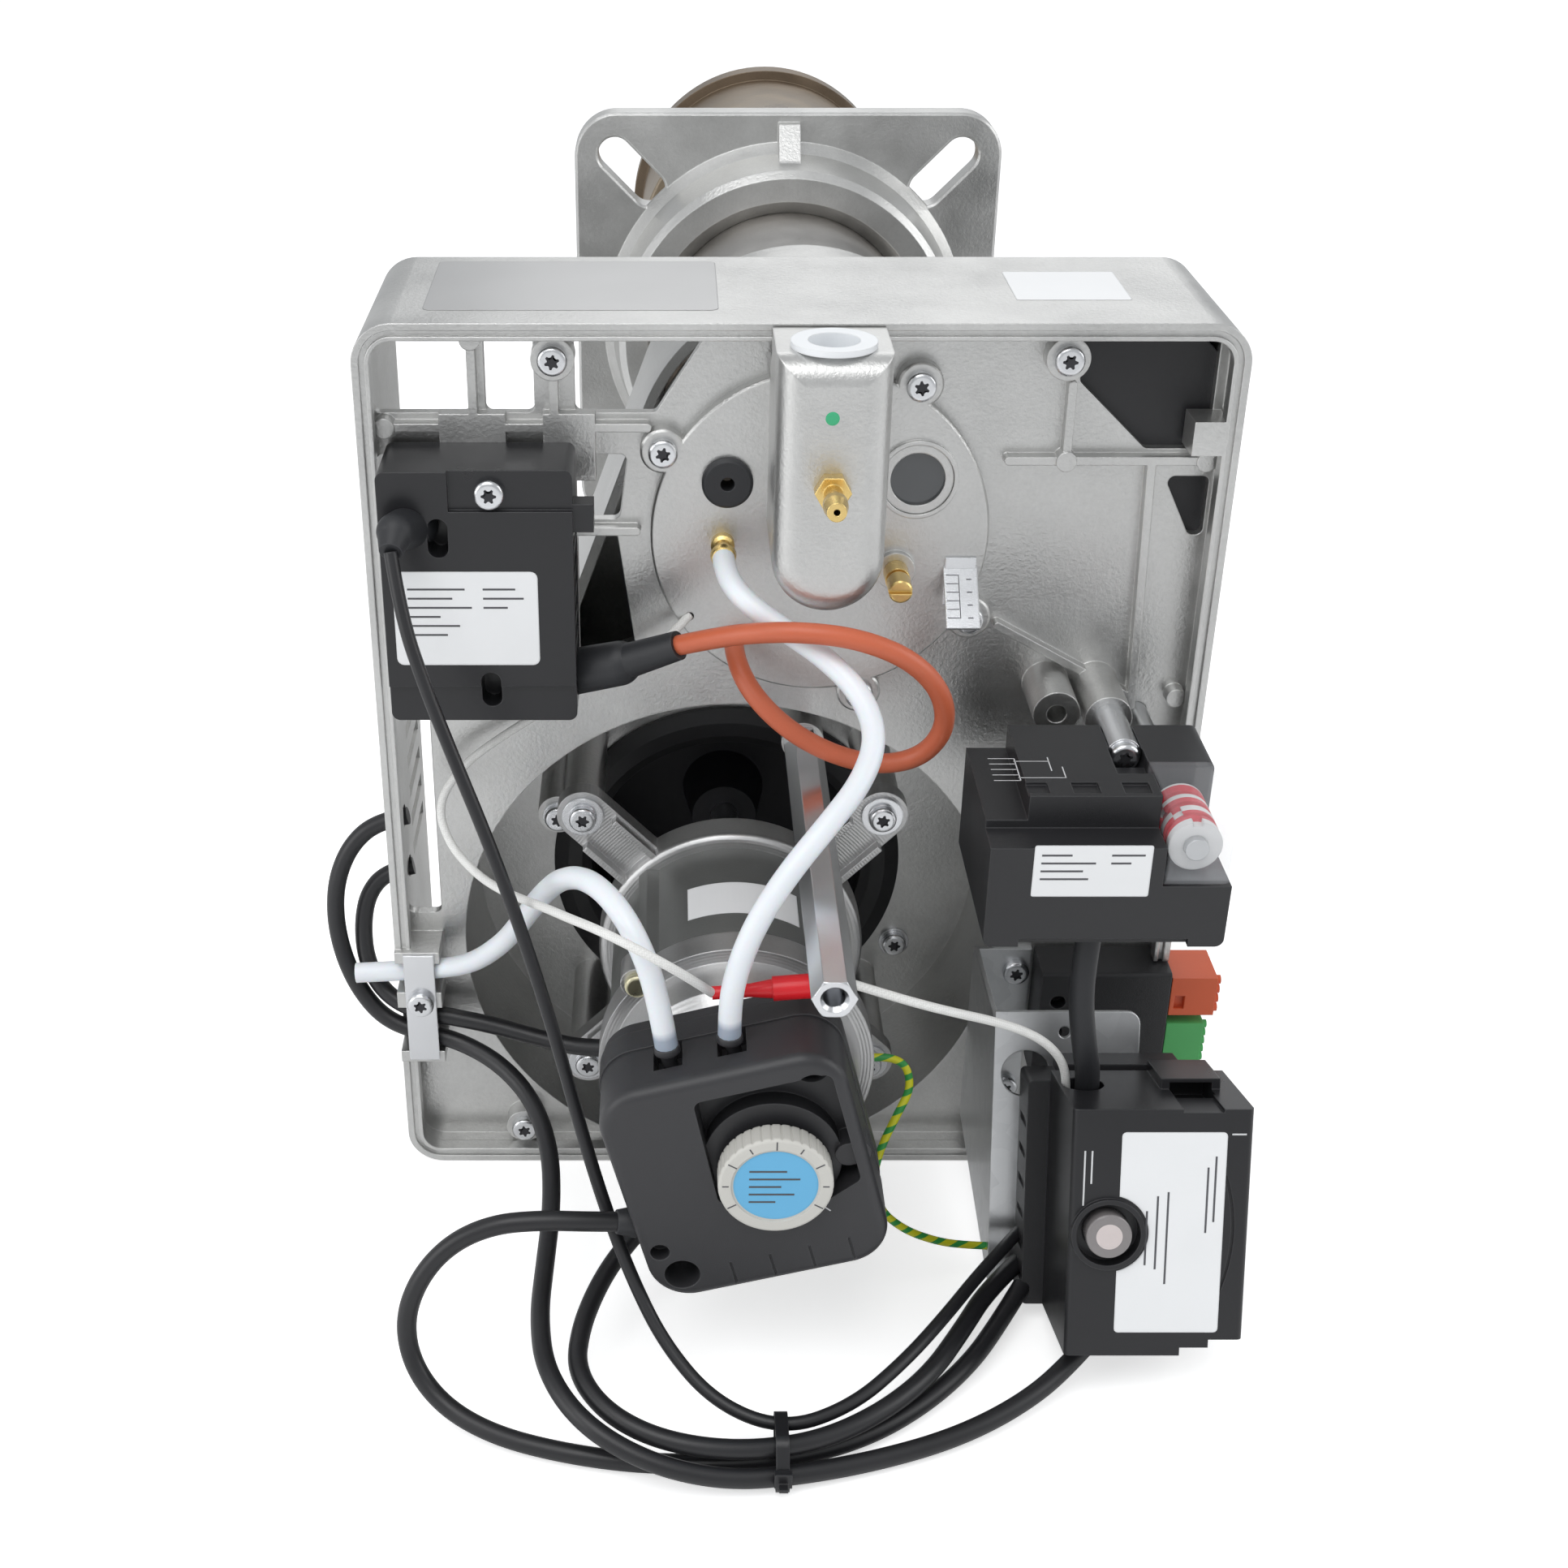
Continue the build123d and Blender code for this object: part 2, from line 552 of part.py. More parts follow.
def make_servo():
    part = block(SERVO_X, SERVO_RIGHT, SERVO_FRONT_Y, SERVO_BACK_Y, SERVO_Z, SERVO_TOP)
    part = fillet(part.edges().filter_by(Axis.Y), 3)
    # step along the top front edge, and the lower left front wing
    part -= block(SERVO_X - 1, COVER_LEFT, SERVO_FRONT_Y - 1, SERVO_FRONT_Y + 14, SERVO_TOP - 12, SERVO_TOP + 1)
    part -= block(SERVO_X - 1, SERVO_X + 14, SERVO_FRONT_Y - 1, SERVO_BACK_Y + 1, SERVO_TOP - 9, SERVO_TOP + 1)
    # corner taken by the clear cover over the cam drum
    pocket = block(COVER_LEFT, SERVO_RIGHT + 5, SERVO_FRONT_Y - 5, COVER_BACK_Y, COVER_LOW, SERVO_TOP + 5)
    part -= pocket
    part -= rod_y(DAMPER_SHAFT_R + RUN_GAP, SERVO_FRONT_Y, SERVO_BACK_Y + 1, DAMPER_X, DAMPER_Z)
    # channel in the top for the fixing sleeve
    sx, sz = SERVO_POSTS[1]
    part -= rod_y(SLEEVE_R + COVER_GAP, SERVO_FRONT_Y + 44, SERVO_BACK_Y + 1, sx, sz)
    part -= block(sx - SLEEVE_R, sx + SLEEVE_R, SERVO_FRONT_Y + 30, SERVO_FRONT_Y + 49, SERVO_TOP - 5, SERVO_TOP + 1)
    for k in range(3):
        x = SERVO_X + 12 + 17 * k
        part -= block(x, x + 9, SERVO_FRONT_Y + 16, SERVO_FRONT_Y + 24, SERVO_TOP - 1.2, SERVO_TOP + 1)
    # skirt at the lower edge, with the cable outlet
    part -= block(SERVO_X + 12, SERVO_RIGHT - 12, SERVO_FRONT_Y - 1, SERVO_FRONT_Y + 3, SERVO_Z - 1, SERVO_Z + 3)
    return part


SLEEVE_R = 6.0
put("servo_housing", make_servo())


def make_servo_cover():
    right = SERVO_RIGHT
    top = SERVO_TOP
    front_y = SERVO_FRONT_Y
    left = COVER_LEFT + COVER_GAP
    low = COVER_LOW + COVER_GAP
    back = COVER_BACK_Y - COVER_GAP
    part = block(left, right, front_y, back, low, top)
    part = fillet(part.edges().filter_by(Axis.Y).group_by(Axis.X)[-1], 3)
    part = fillet(part.edges().group_by(Axis.Y)[0], 1.5)
    part -= block(left + COVER_T, right - COVER_T, front_y + COVER_T, back + 1, low + COVER_T, top - COVER_T)
    return part


put("servo_cover", make_servo_cover())

# ---------------------------------------------------------------- cover disk and gas block
DISK_FRONT_Y = DECK_Y - DISK_T
GRILLE_Z = AXIS_Z
SIGHT = (42.5, 293.0)
SIGHT_R = 12.7
GROMMET = (-24.0, 292.0)
GROMMET_R = 9.0
AIR_TAP = (-25.4, 269.0)
HEAD_SCREW = (36.3, 259.5)
HEAD_SCREW_R = 2.5
LEAD_HOLE = (-21.0, 232.0)
LEAD_R = 3.6
PROBE_HOLE = (-37.0, 241.0)
PROBE_R = 1.6


def make_disk():
    face = disc(DISK_R, AXIS_X, AXIS_Z)
    for x, z in DISK_BOLTS:
        face += disc(POST_R - 0.5, x, z)
    part = slab(face, DISK_FRONT_Y, DECK_Y)
    part = chamfer(part.edges().group_by(Axis.Y)[0], 0.8)
    part += pipe_y(SIGHT_R + 1.5, SIGHT_R, DISK_FRONT_Y - 1.5, DECK_Y, *SIGHT)
    part += slab(rib(AXIS_X + 10, AXIS_Z - 16, HEAD_SCREW[0], HEAD_SCREW[1]), DISK_FRONT_Y - 2, DISK_FRONT_Y + 1)
    part += rod_y(7, DISK_FRONT_Y - 3, DISK_FRONT_Y + 1, *HEAD_SCREW)
    for hole, r in ((SIGHT, SIGHT_R), (GROMMET, GROMMET_R - 2), (AIR_TAP, 2.5), (LEAD_HOLE, LEAD_R),
                    (PROBE_HOLE, PROBE_R)):
        part -= rod_y(r, DISK_FRONT_Y - 5, DECK_Y + 1, *hole)
    part -= rod_y(HEAD_SCREW_R + RUN_GAP, DISK_FRONT_Y - 5, DECK_Y + 1, *HEAD_SCREW)
    part -= rod_y(SPIGOT_R + 0.2, DISK_FRONT_Y - 5, DECK_Y + 1, AXIS_X, AXIS_Z)
    for x, z in DISK_BOLTS:
        part -= rod_y(SCREW_R + 0.2, DISK_FRONT_Y - 5, DECK_Y + 1, x, z)
    return part


SPIGOT_R = GAS_TUBE_BORE_R - RUN_GAP
put("closing_disk", make_disk())


def make_gas_block():
    half = BLOCK_W / 2
    low = AXIS_Z - 12 + half
    face = Pos(AXIS_X, (low + BLOCK_TOP_Z) / 2) * Rectangle(BLOCK_W, BLOCK_TOP_Z - low)
    face += disc(half, AXIS_X, low)
    part = slab(face, BLOCK_FRONT_Y, DISK_FRONT_Y)
    part = fillet(part.edges().group_by(Axis.Y)[0], 9)

    part -= block(AXIS_X - BLOCK_W, AXIS_X + BLOCK_W, -1, DECK_Y, BLOCK_STEP_Z, BLOCK_TOP_Z + 1)
    part -= rod_z(PORT_BORE_R, BLOCK_TOP_Z - PORT_DEPTH, BLOCK_TOP_Z + 1, AXIS_X, PORT_Y)
    part += rod_y(SPIGOT_R, DISK_FRONT_Y - 1, DISK_FRONT_Y + SPIGOT_LEN, AXIS_X, AXIS_Z)
    part -= rod_y(SPIGOT_R - 2, DISK_FRONT_Y, DISK_FRONT_Y + SPIGOT_LEN + 1, AXIS_X, AXIS_Z)
    part -= rod_y(TAP_BORE_R + 1.2, BLOCK_FRONT_Y - 1, BLOCK_FRONT_Y + 10, AXIS_X, NIPPLE_Z)
    return part


SPIGOT_LEN = 70.0
TAP_BORE_R = 1.1
NIPPLE_Z = 306.0
NIPPLE_AF = 10.6
put("gas_block", make_gas_block())

plug = Pos(AXIS_X, PORT_Y, 0) * (
    Pos(0, 0, BLOCK_TOP_Z + 1) * Cylinder(PORT_R, 2) - Pos(0, 0, BLOCK_TOP_Z + 1) * Cylinder(PORT_BORE_R - 1.7, 4)
    + Pos(0, 0, BLOCK_TOP_Z - 5.5) * (Cylinder(PORT_BORE_R - 0.05, 11) - Cylinder(PORT_BORE_R - 1.7, 12))
    + Pos(0, 0, BLOCK_TOP_Z - 10) * Cylinder(PORT_BORE_R - 0.05, 2)
)
put("port_plug", plug)


def make_nipple():
    tip_y = BLOCK_FRONT_Y - 22
    part = slab(hexagon(NIPPLE_AF), BLOCK_FRONT_Y - 5, BLOCK_FRONT_Y)
    part += rod_y(TAP_BORE_R + 1.2, BLOCK_FRONT_Y - 1, BLOCK_FRONT_Y + 10)
    part += turned([(0, tip_y), (3.2, tip_y), (4.1, tip_y + 5), (4.1, tip_y + 8), (3.2, tip_y + 9),
                    (3.2, BLOCK_FRONT_Y - 5), (0, BLOCK_FRONT_Y - 5)])
    return Pos(AXIS_X, 0, NIPPLE_Z) * (part - rod_y(TAP_BORE_R, tip_y - 1, BLOCK_FRONT_Y + 8))


put("test_nipple", make_nipple())


def make_head_screw():
    front_y = DISK_FRONT_Y - 22
    part = rod_y(4.2, front_y, front_y + 9)
    part = chamfer(part.edges().group_by(Axis.Y)[0], 0.6)
    part -= block(-5, 5, front_y - 1, front_y + 1.8, -0.7, 0.7)
    part += rod_y(3.1, front_y + 9, front_y + 11)
    part += rod_y(4.4, front_y + 11, DISK_FRONT_Y - 3 - RUN_GAP)
    part += rod_y(HEAD_SCREW_R, DISK_FRONT_Y - 4, LUG_BACK_Y + HEAD_TRAVEL + 4)
    return Pos(HEAD_SCREW[0], 0, HEAD_SCREW[1]) * part


GAS_TUBE_FRONT_Y = 24.0
LUG_FRONT_Y = 30.0
LUG_BACK_Y = 38.0
put("head_screw", make_head_screw())

# scale that shows how far the head is set back: a strip of sheet leaning out of the disk
scale = Pos(59.5, DISK_FRONT_Y, 260) * Rot(-50, 0, 0) * Pos(0, 0, -12) * Box(12, 1.2, 25)
foot = block(54, 65, DISK_FRONT_Y - 1.2, DISK_FRONT_Y, 246, 264)
put("scale_plate", foot + (scale - block(0, 99, DISK_FRONT_Y, 99, 0, 400)))

put("sight_glass", rod_y(SIGHT_R - 0.05, DISK_FRONT_Y + 1, DISK_FRONT_Y + 4, *SIGHT))
put("grommet", turned([
    (2.5, DISK_FRONT_Y - 3), (GROMMET_R - 1, DISK_FRONT_Y - 3), (GROMMET_R, DISK_FRONT_Y - 2),
    (GROMMET_R, DISK_FRONT_Y), (GROMMET_R - 2, DISK_FRONT_Y), (GROMMET_R - 2, DECK_Y), (GROMMET_R, DECK_Y),
    (GROMMET_R, DECK_Y + 2), (2.5, DECK_Y + 2)], *GROMMET))
put("air_tap", turned([
    (0, DECK_Y), (2.5, DECK_Y), (2.5, DISK_FRONT_Y), (4.2, DISK_FRONT_Y), (4.2, DISK_FRONT_Y - 3),
    (3.0, DISK_FRONT_Y - 4), (3.0, DISK_FRONT_Y - 11), (0, DISK_FRONT_Y - 11)], *AIR_TAP))
disk_screws = [pan_screw(x, DISK_FRONT_Y, z, DISK_T + DECK_T) for x, z in DISK_BOLTS]
body_screws = [pan_screw(x, DECK_Y - 8, z, 12) for x, z in BODY_SCREWS]
put("casing_screws", *disk_screws, *body_screws)

# ---------------------------------------------------------------- ignition transformer
TRAFO_BACK_Y = DECK_Y - RIB_H
TRAFO_FRONT_Y = TRAFO_BACK_Y - TRAFO_D
TRAFO_SCREW = (TRAFO_X + 38, TRAFO_Z + TRAFO_H - 8)


def make_transformer():
    x1 = TRAFO_X + TRAFO_W
    z1 = TRAFO_Z + TRAFO_H
    part = block(TRAFO_X, x1, TRAFO_FRONT_Y, TRAFO_BACK_Y, TRAFO_Z, z1)
    part = fillet(part.edges().filter_by(Axis.Y), 3)
    part -= block(TRAFO_X + 24, x1 + 1, TRAFO_FRONT_Y - 1, TRAFO_FRONT_Y + 2, z1 - 14, z1 + 1)
    part -= block(TRAFO_X - 1, x1 + 1, TRAFO_FRONT_Y - 1, TRAFO_FRONT_Y + 2, TRAFO_Z - 1, TRAFO_Z + 14)
    # two long holes, a fixing hole in a corner, and fins along the right side
    for x, z in ((TRAFO_X + 20, z1 - 24), (TRAFO_X + 36, TRAFO_Z + 12)):
        part -= slab(rib(x, z - 3, x, z + 4, 7), TRAFO_FRONT_Y - 1, TRAFO_FRONT_Y + 12)
    for k in range(7):
        z = TRAFO_Z + 16 + 9 * k
        part -= block(x1 - 2.5, x1 + 1, TRAFO_FRONT_Y + 3, TRAFO_BACK_Y - 3, z, z + 5)
    # ear at the upper right
    part += block(x1 - 4, x1 + 7, TRAFO_FRONT_Y + 2, TRAFO_FRONT_Y + 10, z1 - 22, z1 - 12)
    x, z = TRAFO_SCREW
    part -= rod_y(SCREW_R + 0.1, TRAFO_FRONT_Y - 1, TRAFO_BACK_Y + 1, x, z)
    return part


put("transformer", make_transformer())


def tapered(p0, r0, p1, r1, turn_to=None):
    """Round piece between two points, whose radius runs from r0 to r1."""
    axis = Vector(*p1) - Vector(*p0)
    at = Plane(origin=p0, z_dir=axis)
    return loft([at * Circle(r0), at.offset(axis.length) * Circle(r1)])


PRIMARY_BOOT = ((-131.0, -12.0, 284.0), (-136.0, -30.0, 288.0), (-137.0, -38.0, 284.0))
HT_BOOT = ((-84.0, -5.0, 224.0), (-62.0, -13.0, 232.0), (-41.0, -22.0, 243.0))


def make_boots():
    a, b, c = PRIMARY_BOOT
    primary = tapered(a, 8, b, 6.5) + Pos(*b) * Sphere(6.5) + tapered(b, 6.5, c, 4)
    primary -= make_transformer()
    a, b, c = HT_BOOT
    high = tapered(a, 8.5, b, 8) + Pos(*b) * Sphere(8) + tapered(b, 6.5, c, 5.2)
    high -= make_transformer()
    biggest = [shape.solids().sort_by(SortBy.VOLUME)[-1] for shape in (primary, high)]
    return biggest


put("transformer_boots", *make_boots())

sleeve_x, sleeve_z = SERVO_POSTS[1]
SLEEVE_BACK_Y = -17.0
SLEEVE_FRONT_Y = -45.0
servo_sleeve = pipe_y(SLEEVE_R, 2.6, SLEEVE_FRONT_Y, SLEEVE_BACK_Y, sleeve_x, sleeve_z)
servo_screw = pan_screw(sleeve_x, SLEEVE_FRONT_Y, sleeve_z, SLEEVE_BACK_Y - SLEEVE_FRONT_Y + 14)
trafo_screw = pan_screw(TRAFO_SCREW[0], TRAFO_FRONT_Y + 2, TRAFO_SCREW[1], TRAFO_D - 2)

# ---------------------------------------------------------------- standoff for the cover
STANDOFF_BACK_Y = DECK_Y + DECK_T


def make_standoff():
    part = slab(hexagon(STANDOFF_AF), STANDOFF_FRONT_Y, DECK_Y)
    edge = part.edges().group_by(Axis.Y)[0]
    part = part & turned([(0, STANDOFF_FRONT_Y), (STANDOFF_AF / 2 + 0.2, STANDOFF_FRONT_Y),
                          (STANDOFF_AF, STANDOFF_FRONT_Y + 4), (STANDOFF_AF, DECK_Y), (0, DECK_Y)])
    part -= turned([(0, STANDOFF_FRONT_Y - 1), (4.6, STANDOFF_FRONT_Y - 1), (4.6, STANDOFF_FRONT_Y),
                    (3.4, STANDOFF_FRONT_Y + 1.5), (3.4, STANDOFF_FRONT_Y + 18), (0, STANDOFF_FRONT_Y + 18)])
    return Pos(STANDOFF_X, 0, STANDOFF_Z) * part


put("hex_standoff", make_standoff())

# ---------------------------------------------------------------- air pressure switch
SWITCH_BACK_Y = SHIELD_FRONT_Y
SWITCH_MID_Y = SWITCH_BACK_Y - SWITCH_BASE_D
SWITCH_FRONT_Y = SWITCH_MID_Y - SWITCH_COVER_D
SWITCH = Pos(SWITCH_X, 0, SWITCH_Z) * Rot(0, -SWITCH_TURN, 0)
PORT_STEMS = ((-15.2, 38.0), (6.9, 38.0))
HOSE_R = 4.0
HOSE_BORE_R = 2.6
DIAL_AT = (10.3, 0.4)


def make_switch_base():
    part = slab(RectangleRounded(SWITCH_W - 1.6, SWITCH_H - 1.6, SWITCH_R), SWITCH_MID_Y, SWITCH_BACK_Y)
    part += slab(Pos(0, 3) * RectangleRounded(SWITCH_W, SWITCH_H - 6, SWITCH_R), SWITCH_MID_Y, SWITCH_MID_Y + 11)
    for x, z in SWITCH_SCREWS:
        part -= rod_y(SCREW_R, SWITCH_MID_Y - 1, SWITCH_MID_Y + 9, x, z)
    return SWITCH * part


def make_switch_cover():
    half_w = SWITCH_W / 2
    half_h = SWITCH_H / 2
    part = slab(RectangleRounded(SWITCH_W - 1, SWITCH_H - 1, SWITCH_R), SWITCH_FRONT_Y, SWITCH_MID_Y)
    part = fillet(part.edges().group_by(Axis.Y)[0], 4)
    # upper right part lies deeper, around the dial's boss
    dx, dz = DIAL_AT
    step = outline([(-9, half_h - 9), (half_w - 5, half_h - 9), (half_w - 5, -9), (dx + 4, -19), (-11, -6)], 3)
    part -= slab(step, SWITCH_FRONT_Y - 1, SWITCH_FRONT_Y + 13)
    part += rod_y(DIAL_R + 4, SWITCH_FRONT_Y + 6, SWITCH_FRONT_Y + 14, dx, dz + 2)
    part -= rod_y(DIAL_R + COVER_GAP, SWITCH_FRONT_Y - 1, SWITCH_FRONT_Y + 5, dx, dz)
    part += rod_y(DIAL_BOSS_R, SWITCH_FRONT_Y + 3, SWITCH_FRONT_Y + 8, dx, dz)
    part -= rod_y(DIAL_PIN_R + RUN_GAP, SWITCH_FRONT_Y - 1, SWITCH_FRONT_Y + 12, dx, dz)
    part += slab(rib(dx + DIAL_R + 6, dz - 1, half_w - 4, dz - 1, 9), SWITCH_FRONT_Y + 4, SWITCH_FRONT_Y + 14)
    # ports for the two hoses stand in a notch of the top edge
    for x, z in PORT_STEMS:
        part -= block(x - HOSE_R - 1, x + HOSE_R + 1, SWITCH_MID_Y - 14, SWITCH_MID_Y, z, half_h + 1)
    for x, z in PORT_STEMS:
        part += rod_z(HOSE_BORE_R, z - 1, half_h + 4, x, SWITCH_MID_Y - 7)
    # small hole at the left, four sight grooves at the lower edge
    part -= rod_y(3.4, SWITCH_FRONT_Y - 1, SWITCH_FRONT_Y + 6, -36, -22)
    for k in range(4):
        part -= block(-14 + 14 * k, -13 + 14 * k, SWITCH_FRONT_Y - 1, SWITCH_FRONT_Y + 0.8, -half_h + 3, -half_h + 13)
    # screw pockets
    for x, z in SWITCH_SCREWS:
        part -= rod_y(SCREW_HEAD_R + 1, SWITCH_FRONT_Y - 1, SWITCH_MID_Y - 6, x, z)
        part -= rod_y(SCREW_R + 0.2, SWITCH_FRONT_Y, SWITCH_MID_Y + 1, x, z)
    return SWITCH * part


DIAL_BOSS_R = 7.0
DIAL_PIN_R = 3.0
SWITCH_SCREWS = [(SWITCH_W / 2 - 12, SWITCH_H / 2 - 14), (-SWITCH_W / 2 + 12, -SWITCH_H / 2 + 12)]


def make_dial():
    part = rod_y(DIAL_R, SWITCH_FRONT_Y - DIAL_H + 1, SWITCH_FRONT_Y + 3 - COVER_GAP)
    part = fillet(part.edges().group_by(Axis.Y)[0], 1.2)
    for k in range(36):
        part -= Rot(0, 10 * k, 0) * rod_y(0.55, SWITCH_FRONT_Y - DIAL_H, SWITCH_FRONT_Y + 3, DIAL_R + 0.2, 0)
    part -= rod_y(DIAL_R - 4.5, SWITCH_FRONT_Y - DIAL_H, SWITCH_FRONT_Y - DIAL_H + 1.6)
    part += rod_y(DIAL_PIN_R, SWITCH_FRONT_Y, SWITCH_FRONT_Y + 11)
    return SWITCH * Pos(DIAL_AT[0], 0, DIAL_AT[1]) * part


put("switch_base", make_switch_base())
put("switch_cover", make_switch_cover())
put("setpoint_dial", make_dial())
switch_screws = [SWITCH * pan_screw(x, SWITCH_MID_Y - 6, z, 14) for x, z in SWITCH_SCREWS]

# ---------------------------------------------------------------- burner control unit
CONTROL = Pos(CONTROL_X, CONTROL_Y, CONTROL_Z) * Rot(-CONTROL_LEAN, 0, 0)
RESET_AT = (13.5, 45.6)
WELL_AT = (8.5, 28.0)
CABLE_WELL_R = 7.5
CABLE_WELL_DEPTH = 10.0


def make_control_housing():
    part = block(0, CONTROL_W, 0, CONTROL_D, 0, CONTROL_H)
    part = fillet(part.edges().filter_by(Axis.Z).group_by(Axis.Y)[0], 2)
    # lower right step, window for the fuse at the top right, recess of the curved grip at the right
    part -= block(CONTROL_W - 22, CONTROL_W + 1, -1, CONTROL_D + 1, -1, 3)
    part -= block(CONTROL_W - 12, CONTROL_W + 1, -1, CONTROL_D + 1, 2, 6)
    part -= block(38, 52, -1, 22, CONTROL_H - 1.2, CONTROL_H + 1)
    part += block(35, 56, 22, CONTROL_D, CONTROL_H - 1, CONTROL_H + 4)
    part -= block(38, 53, 16, 34, CONTROL_H - 6, CONTROL_H + 2.5)
    grip = Pos(CONTROL_W - 70, 46) * (Circle(65) - Circle(64)) & Pos(57, 46) * Rectangle(9, 86)
    part -= slab(grip, -1, 0.7)
    # pocket round the reset button
    x, z = RESET_AT
    part += pipe_y(13, 11.2, -1.6, 1, x, z)
    part -= rod_y(11.2, -2, 4, x, z)
    part -= rod_y(RESET_R + RUN_GAP, -2, RESET_POCKET, x, z)
    part -= rod_z(CABLE_WELL_R, CONTROL_H - CABLE_WELL_DEPTH, CONTROL_H + 1, WELL_AT[0], WELL_AT[1])
    return CONTROL * part


RESET_POCKET = 16.0


def make_reset_button():
    part = rod_y(RESET_R, -3, RESET_POCKET - RESET_TRAVEL - COVER_GAP, *RESET_AT)
    return CONTROL * fillet(part.edges().group_by(Axis.Y)[0], 0.8)


def make_control_base():
    part = block(-BASE_EXTRA, CONTROL_W, CONTROL_D, CONTROL_D + CONTROL_BASE_D, 0, CONTROL_H - 4)
    part = fillet(part.edges().filter_by(Axis.Y), 2)
    part += block(4, CONTROL_W - 14, CONTROL_D + 4, CONTROL_D + CONTROL_BASE_D, CONTROL_H - 6, CONTROL_H + 1)
    for z in (8, 20, 32, 44, 56, 68):
        part -= block(-BASE_EXTRA - 1, -BASE_EXTRA + 1, CONTROL_D + 3, CONTROL_D + CONTROL_BASE_D - 3, z, z + 3)
    return CONTROL * part


put("control_housing", make_control_housing())
put("reset_button", make_reset_button())
put("control_base", make_control_base())

BRACKET_FRONT = CONTROL_D + CONTROL_BASE_D
BRACKET_X0 = -18.0
BRACKET_X1 = 36.0
FOOT_X1 = 100.0


def make_bracket():
    plate = Pos((BRACKET_X0 + BRACKET_X1) / 2, 55) * Rectangle(BRACKET_X1 - BRACKET_X0, 106)
    plate = fillet(plate.vertices().sort_by(Axis.X)[-2:], 5)
    part = slab(plate, BRACKET_FRONT, BRACKET_FRONT + BRACKET_T)
    part -= rod_y(2.2, BRACKET_FRONT - 1, BRACKET_FRONT + BRACKET_T + 1, 8, 100)
    part -= rod_y(9, BRACKET_FRONT - 1, BRACKET_FRONT + BRACKET_T + 1, BRACKET_X0 + 12, 84)
    part = CONTROL * part
    # side web from the leaning plate back to the deck
    lean = radians(CONTROL_LEAN)
    web_x = CONTROL_X + BRACKET_X0

    def on_plate(z):
        depth = BRACKET_FRONT + 1
        return (CONTROL_Y + depth * cos(lean) + z * sin(lean), CONTROL_Z - depth * sin(lean) + z * cos(lean))

    low = on_plate(2)
    high = on_plate(104)
    side = make_face(Polyline(low, high, (DECK_Y - BRACKET_T, 96), (DECK_Y, 96), (DECK_Y, 14),
                              (DECK_Y - BRACKET_T, 14), close=True))
    part += extrude(Plane(origin=(web_x, 0, 0), x_dir=(0, 1, 0), z_dir=(1, 0, 0)) * side, amount=BRACKET_T)
    part += block(web_x, FOOT_X1, DECK_Y - BRACKET_T, DECK_Y, 14, 96)
    for x, z in BRACKET_SCREWS:
        part -= rod_y(SCREW_R + 0.2, DECK_Y - BRACKET_T - 1, DECK_Y + 1, x, z)
    return part


put("control_bracket", make_bracket())
bracket_screws = [pan_screw(x, DECK_Y - BRACKET_T, z, BRACKET_T + DECK_T) for x, z in BRACKET_SCREWS]

# ---------------------------------------------------------------- plug-in connectors at the right side
PLUG_FACE_X = BODY_W / 2
PLUG_FRONT_Y = -8.0
SEVEN = (47.0, 74.0)
FOUR = (78.0, 95.0)
SOCKET_DEPTH = 20.0
SOCKET_GAP = 0.3


def make_connector_housing():
    part = block(101, PLUG_FACE_X, PLUG_FRONT_Y, DECK_Y, PLUG_LOW_Z + 1, PLUG_HIGH_Z - 1)
    part = fillet(part.edges().filter_by(Axis.X), 1.5)
    part -= block(100, 122, PLUG_FRONT_Y - 1, PLUG_FRONT_Y + 4, PLUG_LOW_Z, PLUG_LOW_Z + 24)
    for x, z in ((108, 84), (108, 70)):
        part -= rod_y(3, PLUG_FRONT_Y - 1, PLUG_FRONT_Y + 6, x, z)
    for z0, z1 in (SEVEN, FOUR):
        part -= block(PLUG_FACE_X - SOCKET_DEPTH, PLUG_FACE_X + 1, PLUG_FRONT_Y + 3, DECK_Y - 3, z0 + 2, z1 - 2)
    return part


def make_plug(z0, z1, poles, reach):
    low = z0 + 2 + SOCKET_GAP
    high = z1 - 2 - SOCKET_GAP
    inner_y0 = PLUG_FRONT_Y + 3 + SOCKET_GAP
    inner_y1 = DECK_Y - 3 - SOCKET_GAP
    part = block(PLUG_FACE_X - SOCKET_DEPTH + SOCKET_GAP, PLUG_FACE_X + 1, inner_y0, inner_y1, low, high)
    part += block(PLUG_FACE_X + SOCKET_GAP, PLUG_FACE_X + reach, PLUG_FRONT_Y, DECK_Y - 1, z0, z1)
    pitch = (z1 - z0) / poles
    for k in range(poles):
        z = z0 + pitch * (k + 0.5)
        part += rod_x(pitch * 0.42, PLUG_FACE_X + 3, PLUG_FACE_X + reach + 1.6, PLUG_FRONT_Y + 3, z)
        part -= rod_x(1.1, PLUG_FACE_X + reach - 6, PLUG_FACE_X + reach + 2, 6, z)
    part -= block(PLUG_FACE_X + 2, PLUG_FACE_X + 6, PLUG_FRONT_Y - 3, PLUG_FRONT_Y + 2, z0 + 3, z0 + 9)
    return part


put("connector_housing", make_connector_housing())
put("plug_seven", make_plug(*SEVEN, 7, 15.0))
put("plug_four", make_plug(*FOUR, 4, 18.0))

# ---------------------------------------------------------------- clamp at the left rim
STRAP_T = 1.5


